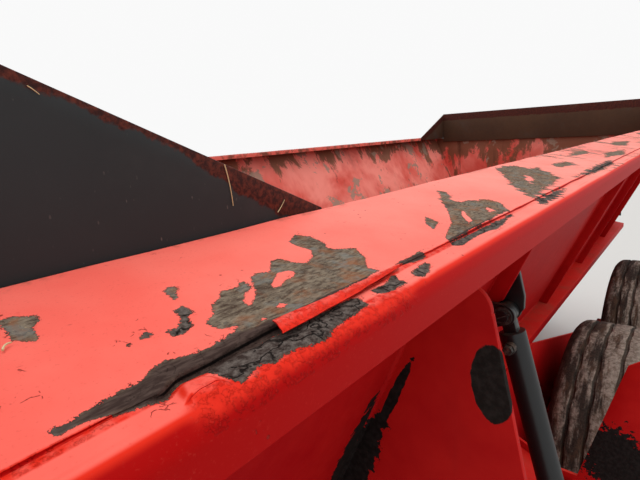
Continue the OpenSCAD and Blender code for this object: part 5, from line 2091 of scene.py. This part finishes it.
@dataclass
class Straws:
    """A few dry stalks stuck to the guard and lying on the rail."""

    finish: Material
    stalks: tuple = (
        ((0.884, 0.9007, 1.878), (0.8805, 0.9007, 1.860), (0.879, 0.9007, 1.841), 0.0006),
        ((1.028, 0.9007, 1.938), (1.025, 0.9007, 1.9358), (1.022, 0.9007, 1.933), 0.0004),
        ((0.824, 0.9007, 1.826), (0.8182, 0.9007, 1.8312), (0.813, 0.9007, 1.837), 0.0005),
        ((1.087, 0.979, 1.8085), (1.085, 0.976, 1.8095), (1.082, 0.975, 1.8095), 0.0007))
    sides: int = 6
    steps: int = 12

    def build(self) -> None:
        """Make the stalks."""
        stalks = [self.stalk(*stalk) for stalk in self.stalks]
        carried(joined(stalks, "straws"), ROOT, "brown_board", self.finish)

    def stalk(self, start: Sequence[float], middle_place: Sequence[float], end: Sequence[float],
              radius: float) -> Piece:
        """Make one bent stalk.

        Args:
            start: Its thick end.
            middle_place: A place that it goes through.
            end: Its thin end.
            radius: Its radius at the thick end.

        Returns:
            The new piece.
        """
        first = Vector(start)
        last = Vector(end)
        bend = Vector(middle_place) * 2 - (first + last) / 2
        across = (last - first).orthogonal().normalized()
        over = (last - first).normalized().cross(across)

        def place(u: float, v: float) -> Vector:
            """Place a point of the stalk.

            Args:
                u: Share of the way along.
                v: Share of the way round.

            Returns:
                Its place, on a bent spine that gets thinner.
            """
            spine = first * (1 - u) ** 2 + bend * 2 * u * (1 - u) + last * u * u
            angle = ring_angle(v, self.sides)
            thick = radius * (1.0 - 0.4 * u)
            return spine + across * math.cos(angle) * thick + over * math.sin(angle) * thick

        return shaped("stalk", self.steps, self.sides, place)


def paints() -> dict[str, Any]:
    """Choose the finish of each material slot.

    Returns:
        The finishes by slot.
    """
    return {
        "red_paint": PaintFinish("weathered red enamel", **RED, dirt_amount=-0.06, marks=(
            Mark((0.580, 1.033, 1.560), (0.020, 0.030, 0.057), shade(30, 26, 24), turn=5.0, ragged=0.12),
            # Marks along the joint of the plate and the side sheet: black dirt and painted shade.
            Mark((0.580, 0.874, 1.478), (0.030, 0.0085, 0.092), **JOINT_DIRT_AND_SHADE),
            Mark((0.580, 0.806, 1.335), (0.045, 0.026, 0.130), **JOINT_DIRT_AND_SHADE, ragged=0.9),
            Mark((-0.234, 1.105, 0.945), (0.030, 0.085, 0.100), shade(26, 22, 21), ragged=0.95, grain=60.0),
            Mark((-0.700, 0.811, 0.992), (0.055, 0.030, 0.010), shade(60, 22, 20)))),
        "rail_paint": PaintFinish("faded rail enamel", shade(200, 40, 30), shade(255, 120, 104), upward_fade_and_light=0.8),
        "black_guard": GuardFinish("worn black guard", shade(52, 56, 57), shade(68, 71, 72),
                                   dirt_amount=-0.1, stain=-0.1, wear_level=0.95),
        "brown_board": GuardFinish("weathered board", shade(78, 58, 47), shade(118, 86, 62),
                                   edge_low=(-2.91, 1.82), edge_high=(-3.404, 2.035), rust_wide=0.05,
                                   speck=shade(120, 96, 74)),
        "bare_steel": MetalFinish("worn steel", shade(128, 120, 112), shade(72, 62, 56), rust_amount=0.05,
                                  dirt_amount=0.22),
        "bearing_iron": MetalFinish("oily iron", shade(84, 78, 74), shade(40, 35, 33), metallic=0.5),
        "black_paint": PaintFinish("dusty black paint", shade(16, 17, 18), shade(32, 34, 36), rough=0.26,
                                   specular=0.4, dirt_amount=-0.02),
        "rod_chrome": MetalFinish("polished rod", shade(214, 214, 212), shade(180, 180, 180),
                                  rust_amount=-0.2, dirt_amount=-0.3, rough=0.14, metallic=1.0),
        "tyre_rubber": RubberFinish(),
        "rim_paint": PaintFinish("dull pale rim", shade(172, 170, 162), shade(208, 205, 196), stain=0.1,
                                 dirt_amount=0.2, dirt=shade(128, 108, 84)),
        "guard_plastic": PaintFinish("black plastic guard", shade(30, 30, 30), shade(52, 50, 48),
                                     wear_level=0.97, rough=0.5, dirt_amount=0.15),
        "lamp_plastic": PaintFinish("lamp lens", shade(206, 66, 10), shade(232, 98, 24), wear_level=0.97,
                                    rough=0.2, specular=0.6, dirt_amount=0.05),
        "sign_plate": PaintFinish("faded orange plate", shade(232, 88, 20), shade(240, 128, 66),
                                  dirt_amount=0.1),
    }


def main() -> None:
    """Dress the machine and set the scene round it."""
    Viewpoint().build()
    Studio().build()
    effects = EffectLibrary()
    tank = TankFinish("tank sheet enamel", **RED, dirt_amount=-0.02, marks=(
        # Mark along the same joint on the side sheet: black dirt and painted shade.
        Mark((0.590, 0.800, 1.355), (0.038, 0.040, 0.140), **JOINT_DIRT_AND_SHADE, ragged=0.9),)).material(effects)
    materials = {slot: finish.material(effects) for slot, finish in paints().items()}
    slots = {part["node"]: part["material_slot"] for part in frame["record"]["subparts"]}
    for name, node in frame["nodes"].items():
        dress(node, tank if name in TANK_SHEETS else materials[slots[name]])
        LOG.info("dressed %s", name)
    rail_paint = RailFinish().material(effects)
    for side in (1, -1):
        TopRail(side).build(rail_paint)
    PaintSliver().build(TopRail(1), rail_paint)
    for corner in ("front_left", "front_right", "rear_left", "rear_right"):
        Wheel(corner, materials).build()
    Fasteners(materials).build()
    WeldSeams(materials["red_paint"]).build()
    Lamps(materials).build()
    Ram(materials).build()
    straw = PaintFinish("dry straw", shade(200, 176, 132), shade(228, 208, 168), wear_level=0.99,
                        dirt_amount=-0.2)
    Straws(straw.material(effects)).build()
    for node, width in SOFT_NODES.items():
        skin = softened(node, width)
        if node == "bearings":
            open_bores(skin, ("auger_left_shaft", "auger_right_shaft", "rotor"))
        dress(skin, materials[slots[node]])
        LOG.info("%s: %d faces", skin.name, len(skin.data.polygons))


if __name__ == "__main__":
    logging.basicConfig(level=logging.INFO, format="%(message)s")
    main()
